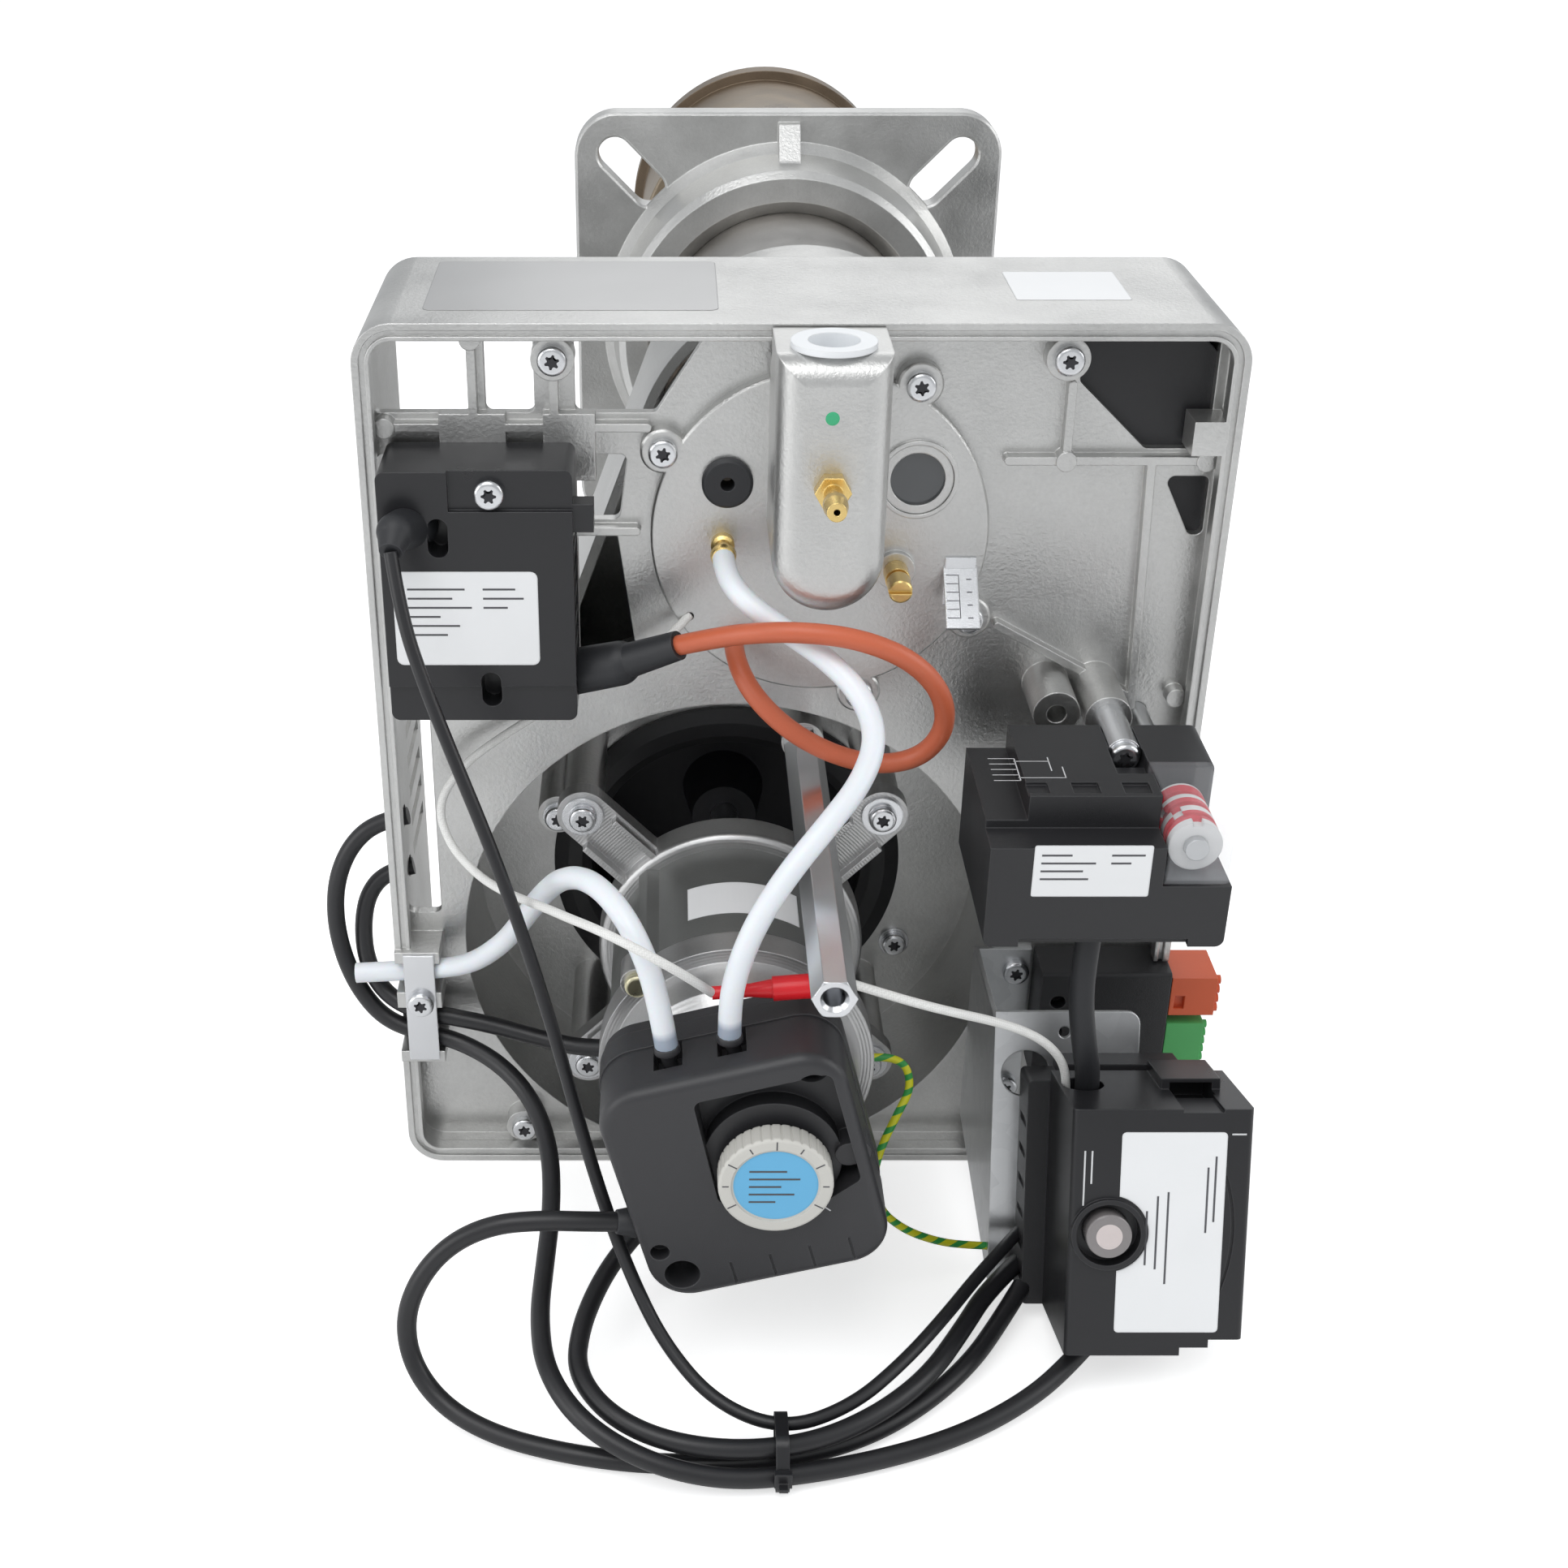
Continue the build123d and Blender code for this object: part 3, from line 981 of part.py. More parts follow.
def make_strap():
    y0 = CLAMP_FRONT_Y - STRAP_T
    part = block(CLAMP_X - 6, CLAMP_X + 6, y0, CLAMP_FRONT_Y, CLAMP_LOW_Z - 3, CLAMP_HIGH_Z + 3)
    part += block(CLAMP_X - 6, CLAMP_X + 6, y0, CLAMP_FRONT_Y, CLAMP_HIGH_Z + 2, CLAMP_HIGH_Z + 5)
    return part - rod_y(SCREW_R, y0 - 1, 0, CLAMP_X, CLAMP_POST_Z)


put("clamp_strap", make_strap())
clamp_screw = pan_screw(CLAMP_X, CLAMP_FRONT_Y - STRAP_T, CLAMP_POST_Z, STRAP_T)
put("fixing_screws", servo_sleeve + servo_screw, trafo_screw, clamp_screw, *switch_screws, *bracket_screws)

# ---------------------------------------------------------------- blast tube, boiler flange and head
SLEEVE_START_Y = TUBE_END_Y - HEAD_LEN
LIP_END_Y = TUBE_END_Y + LIP_LEN
tube_in = TUBE_R - TUBE_T
put("blast_tube", turned([
    (tube_in, CASING_BACK_Y - WALL), (TUBE_R, CASING_BACK_Y - WALL), (TUBE_R, SLEEVE_START_Y),
    (HEAD_R - 1, SLEEVE_START_Y), (HEAD_R, SLEEVE_START_Y + 1), (HEAD_R, TUBE_END_Y - 4),
    (LIP_R, TUBE_END_Y - 4), (LIP_R, LIP_END_Y), (LIP_R - 3, LIP_END_Y + 1), (LIP_INNER_R, LIP_END_Y),
    (LIP_INNER_R, LIP_END_Y - 3), (HEAD_R - TUBE_T, TUBE_END_Y - 6),
    (HEAD_R - TUBE_T, SLEEVE_START_Y + 2 * TUBE_T), (tube_in, SLEEVE_START_Y + 2 * TUBE_T)], AXIS_X, AXIS_Z))

FLANGE_BORE_R = TUBE_R + RUN_GAP
FLANGE_BACK_Y = FLANGE_Y + FLANGE_T
FLANGE_SCREW_R = 4.0
FLANGE_SCREW_TURN = 35.0
SCREW_PLANE_Y = FLANGE_Y - COLLAR_LEN + 10


def make_flange():
    plate = RectangleRounded(FLANGE_SIDE, FLANGE_SIDE, FLANGE_CORNER_R)
    mid = (SLOT_INNER + SLOT_OUTER) / 2
    long = (SLOT_OUTER - SLOT_INNER) * sqrt(2)
    for i in (-1, 1):
        for j in (-1, 1):
            plate -= Pos(i * mid, j * mid) * Rot(0, 0, 45 * i * j) * SlotCenterToCenter(long, 2 * SLOT_R)
    part = slab(plate, FLANGE_Y, FLANGE_BACK_Y)
    part = chamfer(part.edges().group_by(Axis.Y)[0].filter_by(GeomType.LINE), 1)
    part += turned([
        (0, FLANGE_Y + 1), (0, FLANGE_Y - COLLAR_LEN), (COLLAR_R - 3, FLANGE_Y - COLLAR_LEN),
        (COLLAR_R, FLANGE_Y - COLLAR_LEN + 3), (COLLAR_R + 3, FLANGE_Y - 5), (COLLAR_R + 8, FLANGE_Y + 1)])
    half = FLANGE_SIDE / 2
    for side in (-1, 1):
        top = Plane(origin=(-4.75, 0, 0), x_dir=(0, 1, 0), z_dir=(1, 0, 0)) * make_face(Polyline(
            (FLANGE_Y - COLLAR_LEN + 4, side * (COLLAR_R - 6)), (FLANGE_Y - 16, side * (COLLAR_R + 2)),
            (FLANGE_Y - 5, side * (half - 4)), (FLANGE_Y + 1, side * (half - 4)),
            (FLANGE_Y + 1, side * (COLLAR_R - 6)), close=True))
        part += extrude(top, amount=9.5)
    part -= rod_y(FLANGE_BORE_R, FLANGE_Y - COLLAR_LEN - 1, FLANGE_BACK_Y + 1)
    part -= turned([(0, FLANGE_Y - COLLAR_LEN - 1), (FLANGE_BORE_R + 7, FLANGE_Y - COLLAR_LEN - 1),
                    (FLANGE_BORE_R, FLANGE_Y - COLLAR_LEN + 6), (0, FLANGE_Y - COLLAR_LEN + 6)])
    part -= Rot(0, FLANGE_SCREW_TURN, 0) * rod_z(FLANGE_SCREW_R, -COLLAR_R - 12, -FLANGE_BORE_R + 1, 0, SCREW_PLANE_Y)
    return Pos(AXIS_X, 0, AXIS_Z) * part


def make_flange_screw():
    part = rod_z(FLANGE_SCREW_R, -COLLAR_R - 8, -FLANGE_BORE_R - 0.2, 0, SCREW_PLANE_Y)
    part += Pos(0, SCREW_PLANE_Y, -COLLAR_R - 9) * extrude(hexagon(13), amount=5)
    return Pos(AXIS_X, 0, AXIS_Z) * Rot(0, FLANGE_SCREW_TURN, 0) * part


put("mounting_flange", make_flange())
put("flange_screw", make_flange_screw())


def make_gas_tube():
    part = pipe_y(GAS_TUBE_R, GAS_TUBE_BORE_R, GAS_TUBE_FRONT_Y, DIFFUSER_Y - 12)
    part += pipe_y(GAS_TUBE_R + 10, GAS_TUBE_R, DIFFUSER_Y - 24, DIFFUSER_Y - 12)
    lug = slab(rib(AXIS_X, AXIS_Z, *HEAD_SCREW, 12), LUG_FRONT_Y, LUG_BACK_Y)
    lug -= rod_y(GAS_TUBE_R - 1, LUG_FRONT_Y - 1, LUG_BACK_Y + 1, AXIS_X, AXIS_Z)
    lug -= rod_y(HEAD_SCREW_R + RUN_GAP, LUG_FRONT_Y - 1, LUG_BACK_Y + 1, *HEAD_SCREW)
    return Pos(AXIS_X, 0, AXIS_Z) * part + lug


CERAMIC_R = 3.4
ELECTRODES = ((28, 6), (152, 3))


def make_diffuser():
    face = disc(DIFFUSER_R) - disc(GAS_TUBE_R + 2)
    part = slab(face, DIFFUSER_Y, DIFFUSER_Y + 1.5)
    part += pipe_y(DIFFUSER_R, DIFFUSER_R - 1.5, DIFFUSER_Y - 8, DIFFUSER_Y)
    for k in range(16):
        slot = Rot(0, 0, 22.5 * k) * Pos(31, 0) * Rot(0, 0, 12) * SlotCenterToCenter(16, 3)
        part -= slab(slot, DIFFUSER_Y - 1, DIFFUSER_Y + 2)
    for angle, _ in ELECTRODES:
        away = GAS_TUBE_R + 11.5 + CERAMIC_R + RUN_GAP
        part -= Rot(0, angle, 0) * rod_y(4, DIFFUSER_Y - 1, DIFFUSER_Y + 2, away, 0)
    for k in range(4):
        part += Rot(0, 90 * k + 45, 0) * block(GAS_TUBE_R + 10.2, DIFFUSER_R - 1, DIFFUSER_Y - 18, DIFFUSER_Y, -0.8, 0.8)
    part += pipe_y(GAS_TUBE_R + 11.5, GAS_TUBE_R + 10, DIFFUSER_Y - 24, DIFFUSER_Y - 12)
    return Pos(AXIS_X, 0, AXIS_Z) * part


def make_electrode(angle, reach):
    r = GAS_TUBE_R + 11.5 + CERAMIC_R + RUN_GAP
    part = rod_y(CERAMIC_R, DIFFUSER_Y - 90, DIFFUSER_Y - 14, r, 0)
    part += rod_y(1, DIFFUSER_Y - 110, DIFFUSER_Y + reach, r, 0)
    return Pos(AXIS_X, 0, AXIS_Z) * Rot(0, angle, 0) * part


put("gas_tube", make_gas_tube())
put("diffuser", make_diffuser())

put("electrodes", *[make_electrode(*place) for place in ELECTRODES])

# ---------------------------------------------------------------- cables and hoses
RADII = {
    "ignition_cable": LEAD_R, "air_hose": HOSE_R, "vent_hose": HOSE_R, "probe_lead": PROBE_R,
    "probe_lead_tail": PROBE_R, "transformer_cable": 2.4, "switch_cable": CABLE_R, "motor_cable": CABLE_R,
    "shield_cable": CABLE_R, "inner_loop": CABLE_R, "servo_cable": 4.5, "earth_wire": 1.5,
}
ROUTES = {
    "ignition_cable": [
        (-21, 9, 232), (-21, -6, 230.5), (-14.5, -17, 221), (-1.5, -22, 209.5), (15, -23.5, 200.5),
        (32, -25.5, 197.5), (46, -29.5, 203.5), (52.5, -35.5, 218), (49, -41, 234.5), (37.5, -45, 248),
        (20.5, -46.5, 256), (2.5, -46, 258.5), (-15, -40.5, 256), (-29, -31.5, 250), (-41, -22, 243),
    ],
    "air_hose": [
        (-25.4, -3, 269), (-25.2, -17, 267.5), (-18.5, -28, 262), (-5.5, -33, 254), (9, -41.5, 247),
        (20.5, -52, 238.5), (25, -66, 229.5), (19.5, -80.5, 220.5), (7.5, -93.5, 211), (-5, -104, 200),
        (-15.5, -111.5, 186), (-22, -115, 170), (-24.5, -115.5, 155), (-24.2, -115, 141),
    ],
    "vent_hose": [
        (-45, -114.5, 136), (-47.5, -114.5, 154), (-52.5, -110, 171.5), (-61, -98, 182.5),
        (-71.5, -82, 184), (-81.5, -65, 174.5), (-90, -49.5, 158), (-98, -35.5, 139),
        (-107, -22.5, 120.5), (-120, -9, 103), (-134, 1.8, 93.5), (-151, 4, 91), (-168, 4, 90),
    ],
    "probe_lead": [
        (-37, 9, 241), (-46, 0, 234), (-60, 3.5, 224.5), (-75.5, 7, 213.5), (-91, 8, 203),
        (-106.5, 6, 193.5), (-121.5, 2, 183.5), (-131, -4.5, 170.5), (-126, -16, 160),
        (-115, -30.5, 155.5), (-104.5, -46.5, 158), (-95, -63, 164), (-86, -79.5, 170.5),
        (-78, -94.5, 176), (-68.5, -108.5, 180.5), (-56.5, -120, 181), (-43, -122.5, 174),
        (-34.5, -115, 163), (-30, -105, 153),
    ],
    "probe_lead_tail": [
        (16, -105, 157), (29, -107, 153.5), (41.5, -106.5, 149), (53.5, -104, 144), (65, -100, 138.5),
        (76, -95.5, 132), (86, -90.5, 123.5), (93.5, -85.5, 113), (97.5, -81.5, 102), (98.5, -80, 91),
    ],
    "transformer_cable": [
        (-137, -38, 284), (-134, -46, 265), (-126.5, -53.5, 242), (-117, -60.5, 217.5),
        (-107, -67, 192), (-98, -73.5, 166.5), (-90, -80.5, 141.5), (-82.5, -89, 116.5),
        (-75.5, -99, 92), (-67.5, -111, 68.5), (-58, -124.5, 47), (-46, -139.5, 28.5),
        (-28.5, -155, 16), (-5, -164.5, 12.8), (19, -155.5, 15), (39, -137, 18.5), (56, -116, 21),
        (71.5, -94.5, 23), (87.5, -75.5, 25.5),
    ],
    "switch_cable": [
        (-56, -122, 69), (-72, -125, 71.5), (-89, -126, 73), (-106, -126, 71), (-121, -127, 63),
        (-132, -130, 50), (-137.5, -134, 34), (-134.5, -140, 18.5), (-123.5, -148.5, 8),
        (-106, -158, 4.2), (-83, -166, 4), (-56, -171.5, 4.3), (-29, -172.5, 5), (-2, -169.5, 5),
        (24, -159.5, 4.2), (46, -144, 4.8), (64, -126, 6.5), (77, -107, 8.5), (87.5, -91, 12.5),
    ],
    "motor_cable": [
        (-146, 24, 150), (-158, 24, 147.5), (-169, 22.5, 138), (-175.5, 20.5, 123.5), (-177, 18, 107.5),
        (-174.5, 14.5, 92), (-168.5, 10.5, 78), (-159, 6.5, 67), (-146, 3.5, 62.5), (-129.5, 0.5, 60.5),
        (-111.5, -10, 56.5), (-97.5, -26, 50), (-90, -47.5, 42), (-88.5, -72, 34), (-90, -97.5, 28.5),
        (-91, -123, 26.5), (-87.5, -148.5, 24.5), (-74, -169, 20), (-51.5, -179.5, 12.5),
        (-25, -181.5, 6.5), (2, -177, 5), (29, -169.5, 4.2), (55, -160, 4.6), (78, -147, 6),
        (97, -131.5, 8.5), (113, -116, 15.6),
    ],
    "shield_cable": [
        (-36, -66, 51.5), (-44.5, -73, 39.5), (-55.5, -81.5, 31.5), (-65, -94.5, 27.5),
        (-71.5, -110.5, 26), (-76, -128, 24.5), (-77, -145.5, 22.5), (-68, -160.5, 19.5),
        (-53, -170.5, 17), (-34, -175, 15), (-13, -174, 13), (9, -168, 12), (30, -155.5, 12.5),
        (48, -138, 12.7), (62, -116, 13.5), (74, -95, 14), (87.5, -79, 13.5),
    ],
    "inner_loop": [
        (-146, 30, 124), (-156.5, 29, 122), (-164.5, 26.5, 113.5), (-167, 22, 101), (-165.5, 15.5, 88),
        (-158.5, 9, 77.5), (-147, 4.5, 72.2), (-133, 2.5, 70.5), (-115, 0, 68), (-95, -5, 64.5),
        (-75, -11, 63.5), (-56, -15, 68),
    ],
    "servo_cable": [
        (102, -74, 166), (100, -78, 150.5), (99.5, -81, 134), (102, -83, 117), (105.5, -81.5, 102),
        (105.5, -80, 90),
    ],
    "earth_wire": [
        (29.2, -62, 96), (40.5, -62.5, 97.5), (45, -66.5, 87), (39, -72.5, 77.5), (33, -77.5, 66),
        (30.5, -81, 53.5), (34, -82, 41), (43, -80.5, 31), (54, -77, 23), (65, -73, 17),
        (77.5, -69, 13),
    ],
}


PATHS = {}


def cord(name):
    """Round cord along its points, each corner rounded as far as its two runs allow."""
    points = [Vector(*p) for p in ROUTES[name]]
    radii = []
    for before, at, after in zip(points, points[1:], points[2:]):
        turn = radians((at - before).get_angle(after - at))
        radii.append(0.45 * min((at - before).length, (after - at).length) / tan(turn / 2))
    path = FilletPolyline(*points, radius=radii)
    PATHS[name] = path
    r = RADII[name]
    start = Plane(origin=path @ 0, z_dir=path % 0)
    part = sweep(start * Circle(r), path=path)
    share = part.volume / (pi * r * r * path.length)
    print(name, "length", round(path.length), "smallest radius", round(min(radii), 1), "volume share", round(share, 4))
    return part


for name in ROUTES:
    put(name, cord(name))

# crimped connectors that join the two halves of the probe lead
lead_end = Vector(*ROUTES["probe_lead"][-1])
tail_start = Vector(*ROUTES["probe_lead_tail"][0])


def make_lead_connectors():
    along = tail_start - lead_end
    long = along.length
    at = Plane(origin=lead_end, z_dir=along)
    part = at * Pos(0, 0, long * 0.14) * Cylinder(2.3, long * 0.28)
    part += loft([at.offset(long * 0.26) * Circle(2.2), at.offset(long * 0.45) * Circle(3.4)])
    part += at * Pos(0, 0, long * 0.6) * Cylinder(4.2, long * 0.32)
    part += loft([at.offset(long * 0.75) * Circle(4.0), at.offset(long * 0.88) * Circle(2.3)])
    part += at * Pos(0, 0, long * 0.93) * Cylinder(2.3, long * 0.14)
    return part


put("lead_connectors", make_lead_connectors())

# tie round the four cables on the floor
TIE_X = -6.0
TIE_W = 4.6
TIE_CORDS = ("switch_cable", "motor_cable", "shield_cable", "transformer_cable")


def crossing(name, x):
    """Height and depth at which a cord's last crossing of the plane at x lies."""
    path = PATHS[name]
    spots = [path @ (k / 400) for k in range(401)]
    late = [p for p in spots if p.Y < -150]
    return min(late, key=lambda p: abs(p.X - x))


def make_tie():
    def around(spread):
        spots = [(crossing(name, TIE_X), RADII[name] + spread) for name in TIE_CORDS]
        face = Sketch() + [Pos(at.Y, at.Z) * Circle(r) for at, r in spots]
        return make_hull(face.edges())

    at = Plane(origin=(TIE_X - TIE_W / 2, 0, 0), x_dir=(0, 1, 0), z_dir=(1, 0, 0))
    part = extrude(at * (around(1.9) - around(0.8)), amount=TIE_W)
    part += block(TIE_X - 3, TIE_X + 3, -184.5, -182, 6, 12)
    part += block(TIE_X - 1.5, TIE_X + 1.5, -187.5, -184, 7, 8.2)
    # flattened where it lies on the bench
    return part - block(TIE_X - 9, TIE_X + 9, -200, -150, -5, 0.2)


put("cable_tie", make_tie())
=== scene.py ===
# %% [markdown]
# # Industrial gas burner
# This burner has its cover off, so a light cast body with all its working parts is on show.
# The solids are already exact. This lesson gives them their finishes, replaces the plain cables
# and hoses with smooth ones, and adds the thin things such as labels that solids leave out.

from math import cos, pi, radians, sin

import bpy
from mathutils import Matrix, Vector


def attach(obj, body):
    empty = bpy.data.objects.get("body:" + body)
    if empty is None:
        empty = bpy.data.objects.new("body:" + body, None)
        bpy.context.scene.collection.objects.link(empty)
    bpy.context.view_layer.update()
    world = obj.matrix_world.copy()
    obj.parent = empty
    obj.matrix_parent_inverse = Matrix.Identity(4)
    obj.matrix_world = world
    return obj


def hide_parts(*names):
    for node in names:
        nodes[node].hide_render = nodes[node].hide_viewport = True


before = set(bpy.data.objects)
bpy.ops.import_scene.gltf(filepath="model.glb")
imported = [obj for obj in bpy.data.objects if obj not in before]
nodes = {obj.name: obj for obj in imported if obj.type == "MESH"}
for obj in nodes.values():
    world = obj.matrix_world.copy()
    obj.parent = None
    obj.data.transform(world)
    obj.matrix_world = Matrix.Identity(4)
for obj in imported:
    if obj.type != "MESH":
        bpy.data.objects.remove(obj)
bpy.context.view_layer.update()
print("solids:", len(nodes))

# %% [markdown]
# The drawing is in millimetres from the plane of the body's open rim. The shared frame is in
# metres from the middle of the body's underside, so one small function turns one into the other.

# %% Millimetres of the drawing to metres of the frame
MM = 0.001
RIM_Y = -44.5


def at(x, y, z):
    """Point of the frame in metres, from millimetres of the drawing."""
    return Vector((x * MM, (y + RIM_Y) * MM, z * MM))


FAN_X, FAN_Z = -20.0, 98.0

# %% [markdown]
# ## Camera
# The burner is seen from its service side and from above, close enough for strong perspective.
# The camera is level from left to right, and a small shift keeps the burner in the frame.

# %% Camera
bpy.ops.object.select_all(action="DESELECT")
bpy.ops.object.camera_add(location=(-0.0449, -0.735, 0.5429), rotation=(radians(60.6), 0, 0))
camera = bpy.context.object
camera.name = "camera"
camera.data.lens = 48.04
camera.data.sensor_width = 36.0
camera.data.shift_x = 0.0742
camera.data.shift_y = 0.0339
camera.data.clip_start = 0.01
bpy.context.scene.camera = camera

# %% [markdown]
# ## Light
# Satin aluminium shows what is around it, so the studio is mostly large pale panels. One panel
# above and in front gives the shapes their shading, two at the sides draw long soft highlights
# along the walls, and one behind lights the tube.

# %% Panels and the pale world


def add_panel(name, place, aim, size, power):
    """Soft square lamp at place that faces aim."""
    bpy.ops.object.light_add(type="AREA", location=place)
    lamp = bpy.context.object
    lamp.name = name
    lamp.rotation_euler = (Vector(aim) - Vector(place)).to_track_quat("-Z", "Y").to_euler()
    lamp.data.size = size
    lamp.data.energy = power
    return lamp


add_panel("panel_top", (-0.35, -0.75, 1.5), (0, 0, 0.15), 1.1, 9.5)
add_panel("panel_left", (-1.4, -0.7, 0.6), (0, 0, 0.15), 1.0, 6)
add_panel("panel_right", (1.3, -0.2, 0.8), (0, 0, 0.2), 0.9, 5)
add_panel("panel_back", (0.2, 1.5, 1.3), (0, 0.2, 0.2), 1.0, 3.5)

world = bpy.data.worlds.new("studio")
bpy.context.scene.world = world
world.use_nodes = True
sky = world.node_tree
sky.nodes.clear()
sky_out = sky.nodes.new("ShaderNodeOutputWorld")
sky_seen = sky.nodes.new("ShaderNodeBackground")
sky_seen.inputs["Color"].default_value = (1, 1, 1, 1)
sky_seen.inputs["Strength"].default_value = 1.0
sky_light = sky.nodes.new("ShaderNodeBackground")
sky_light.inputs["Color"].default_value = (0.96, 0.98, 1.0, 1)
sky_light.inputs["Strength"].default_value = 0.58
sky_path = sky.nodes.new("ShaderNodeLightPath")
sky_mix = sky.nodes.new("ShaderNodeMixShader")
sky.links.new(sky_path.outputs["Is Camera Ray"], sky_mix.inputs[0])
sky.links.new(sky_light.outputs[0], sky_mix.inputs[1])
sky.links.new(sky_seen.outputs[0], sky_mix.inputs[2])
sky.links.new(sky_mix.outputs[0], sky_out.inputs["Surface"])
bpy.context.scene.view_settings.view_transform = "Standard"

# %% [markdown]
# ## Node groups for grain and painted edge highlights
# Metals and plastics here share the same few effects: a fine grain, slow patches of tone, and
# edges that are a little rounded and carry a painted highlight. Each effect is one node group, built once, so
# every finish below only sets its own numbers.

# %% Helpers for building groups


def new_group(name, inputs, outputs):
    """Empty shader group with (name, kind, value) inputs and (name, kind) outputs."""
    tree = bpy.data.node_groups.new(name, "ShaderNodeTree")
    for label, kind, value in inputs:
        socket = tree.interface.new_socket(label, in_out="INPUT", socket_type="NodeSocket" + kind)
        socket.default_value = value
    for label, kind in outputs:
        tree.interface.new_socket(label, in_out="OUTPUT", socket_type="NodeSocket" + kind)
    return tree, tree.nodes.new("NodeGroupInput"), tree.nodes.new("NodeGroupOutput")


def add_node(tree, kind, values=None, **settings):
    """Node of that kind, with its settings and its unlinked input values."""
    node = tree.nodes.new("ShaderNode" + kind)
    for key, value in settings.items():
        setattr(node, key, value)
    for key, value in (values or {}).items():
        node.inputs[key].default_value = value
    return node


def maths(tree, operation, a, b):
    """Output of a Math node whose two inputs are numbers or sockets."""
    node = add_node(tree, "Math", operation=operation)
    for index, value in enumerate((a, b)):
        if isinstance(value, (int, float)):
            node.inputs[index].default_value = value
        else:
            tree.links.new(value, node.inputs[index])
    return node.outputs[0]


def blend_colours(tree, factor, a, b):
    """Colour between a and b, each of them and factor a value or a socket."""
    node = add_node(tree, "Mix", data_type="RGBA")
    for socket, value in ((node.inputs[0], factor), (node.inputs[6], a), (node.inputs[7], b)):
        if hasattr(value, "is_linked"):
            tree.links.new(value, socket)
        else:
            socket.default_value = value
    return node.outputs[2]


# %% Group: skin with grain, patches and painted edge highlights


def make_skin_group():
    """Group that gives the colour, roughness and normal of a grainy surface, with patches of tone and a
    painted highlight on its edges.
    """
    tree, given, result = new_group("grain_and_edge_highlight", [
        ("Base", "Color", (0.6, 0.6, 0.6, 1)), ("Edge Highlight", "Color", (0.8, 0.8, 0.8, 1)),
        ("Roughness", "Float", 0.45), ("Grain Scale", "Float", 900.0), ("Grain Depth", "Float", 0.3),
        ("Patchiness", "Float", 0.1), ("Edge Amount", "Float", 0.5)],
        [("Color", "Color"), ("Roughness", "Float"), ("Normal", "Vector")])
    place = add_node(tree, "TexCoord")
    grain = add_node(tree, "TexNoise", {"Detail": 3.0, "Roughness": 0.65})
    patch = add_node(tree, "TexNoise", {"Scale": 28.0, "Detail": 4.0, "Roughness": 0.6})
    tree.links.new(place.outputs["Object"], grain.inputs["Vector"])
    tree.links.new(place.outputs["Object"], patch.inputs["Vector"])
    tree.links.new(given.outputs["Grain Scale"], grain.inputs["Scale"])
    # tone: base times 1 plus or minus the patchiness
    swing = maths(tree, "SUBTRACT", patch.outputs["Fac"], 0.5)
    swing = maths(tree, "MULTIPLY", swing, given.outputs["Patchiness"])
    speck = maths(tree, "SUBTRACT", grain.outputs["Fac"], 0.5)
    speck = maths(tree, "MULTIPLY", speck, given.outputs["Patchiness"])
    tone = maths(tree, "ADD", maths(tree, "MULTIPLY", swing, 2.4), 1.0)
    tone = maths(tree, "ADD", tone, maths(tree, "MULTIPLY", speck, 0.8))
    toned = add_node(tree, "VectorMath", operation="SCALE")
    tree.links.new(given.outputs["Base"], toned.inputs[0])
    tree.links.new(tone, toned.inputs["Scale"])
    # painted highlight on edges: where a rounded normal differs from the flat one
    rounded = add_node(tree, "Bevel", {"Radius": 0.0007}, samples=4)
    flat = add_node(tree, "NewGeometry")
    facing = add_node(tree, "VectorMath", operation="DOT_PRODUCT")
    tree.links.new(rounded.outputs[0], facing.inputs[0])
    tree.links.new(flat.outputs["Normal"], facing.inputs[1])
    edge = maths(tree, "SUBTRACT", 1.0, facing.outputs["Value"])
    edge = maths(tree, "MULTIPLY", edge, maths(tree, "MULTIPLY", given.outputs["Edge Amount"], 6.0))
    edge = maths(tree, "MULTIPLY", edge, maths(tree, "ADD", patch.outputs["Fac"], 0.3))
    edge = maths(tree, "MINIMUM", maths(tree, "MAXIMUM", edge, 0.0), 1.0)
    # painted highlight: the edge mask blends the colour towards a lighter one
    colour = blend_colours(tree, edge, toned.outputs[0], given.outputs["Edge Highlight"])
    rough = maths(tree, "ADD", given.outputs["Roughness"], maths(tree, "MULTIPLY", swing, 1.5))
    bump = add_node(tree, "Bump", {"Distance": 0.0002})
    tree.links.new(given.outputs["Grain Depth"], bump.inputs["Strength"])
    tree.links.new(grain.outputs["Fac"], bump.inputs["Height"])
    tree.links.new(rounded.outputs[0], bump.inputs["Normal"])
    tree.links.new(colour, result.inputs["Color"])
    tree.links.new(rough, result.inputs["Roughness"])
    tree.links.new(bump.outputs[0], result.inputs["Normal"])
    return tree


grain_and_edge_highlight = make_skin_group()

# %% Group: rings that a lathe leaves round a line along Y


def make_ring_group():
    """Group that gives the height of fine rings round a line along Y through Centre."""
    tree, given, result = new_group("lathe_rings", [
        ("Centre", "Vector", (0.0, 0.0, 0.0)), ("Scale", "Float", 400.0)], [("Height", "Float")])
    place = add_node(tree, "TexCoord")
    moved = add_node(tree, "VectorMath", operation="SUBTRACT")
    tree.links.new(place.outputs["Object"], moved.inputs[0])
    tree.links.new(given.outputs["Centre"], moved.inputs[1])
    rings = add_node(tree, "TexWave", {"Distortion": 0.4, "Detail": 2.0},
                     wave_type="RINGS", rings_direction="Y")
    tree.links.new(moved.outputs[0], rings.inputs["Vector"])
    tree.links.new(given.outputs["Scale"], rings.inputs["Scale"])
    tree.links.new(rings.outputs["Fac"], result.inputs["Height"])
    return tree


lathe_rings = make_ring_group()

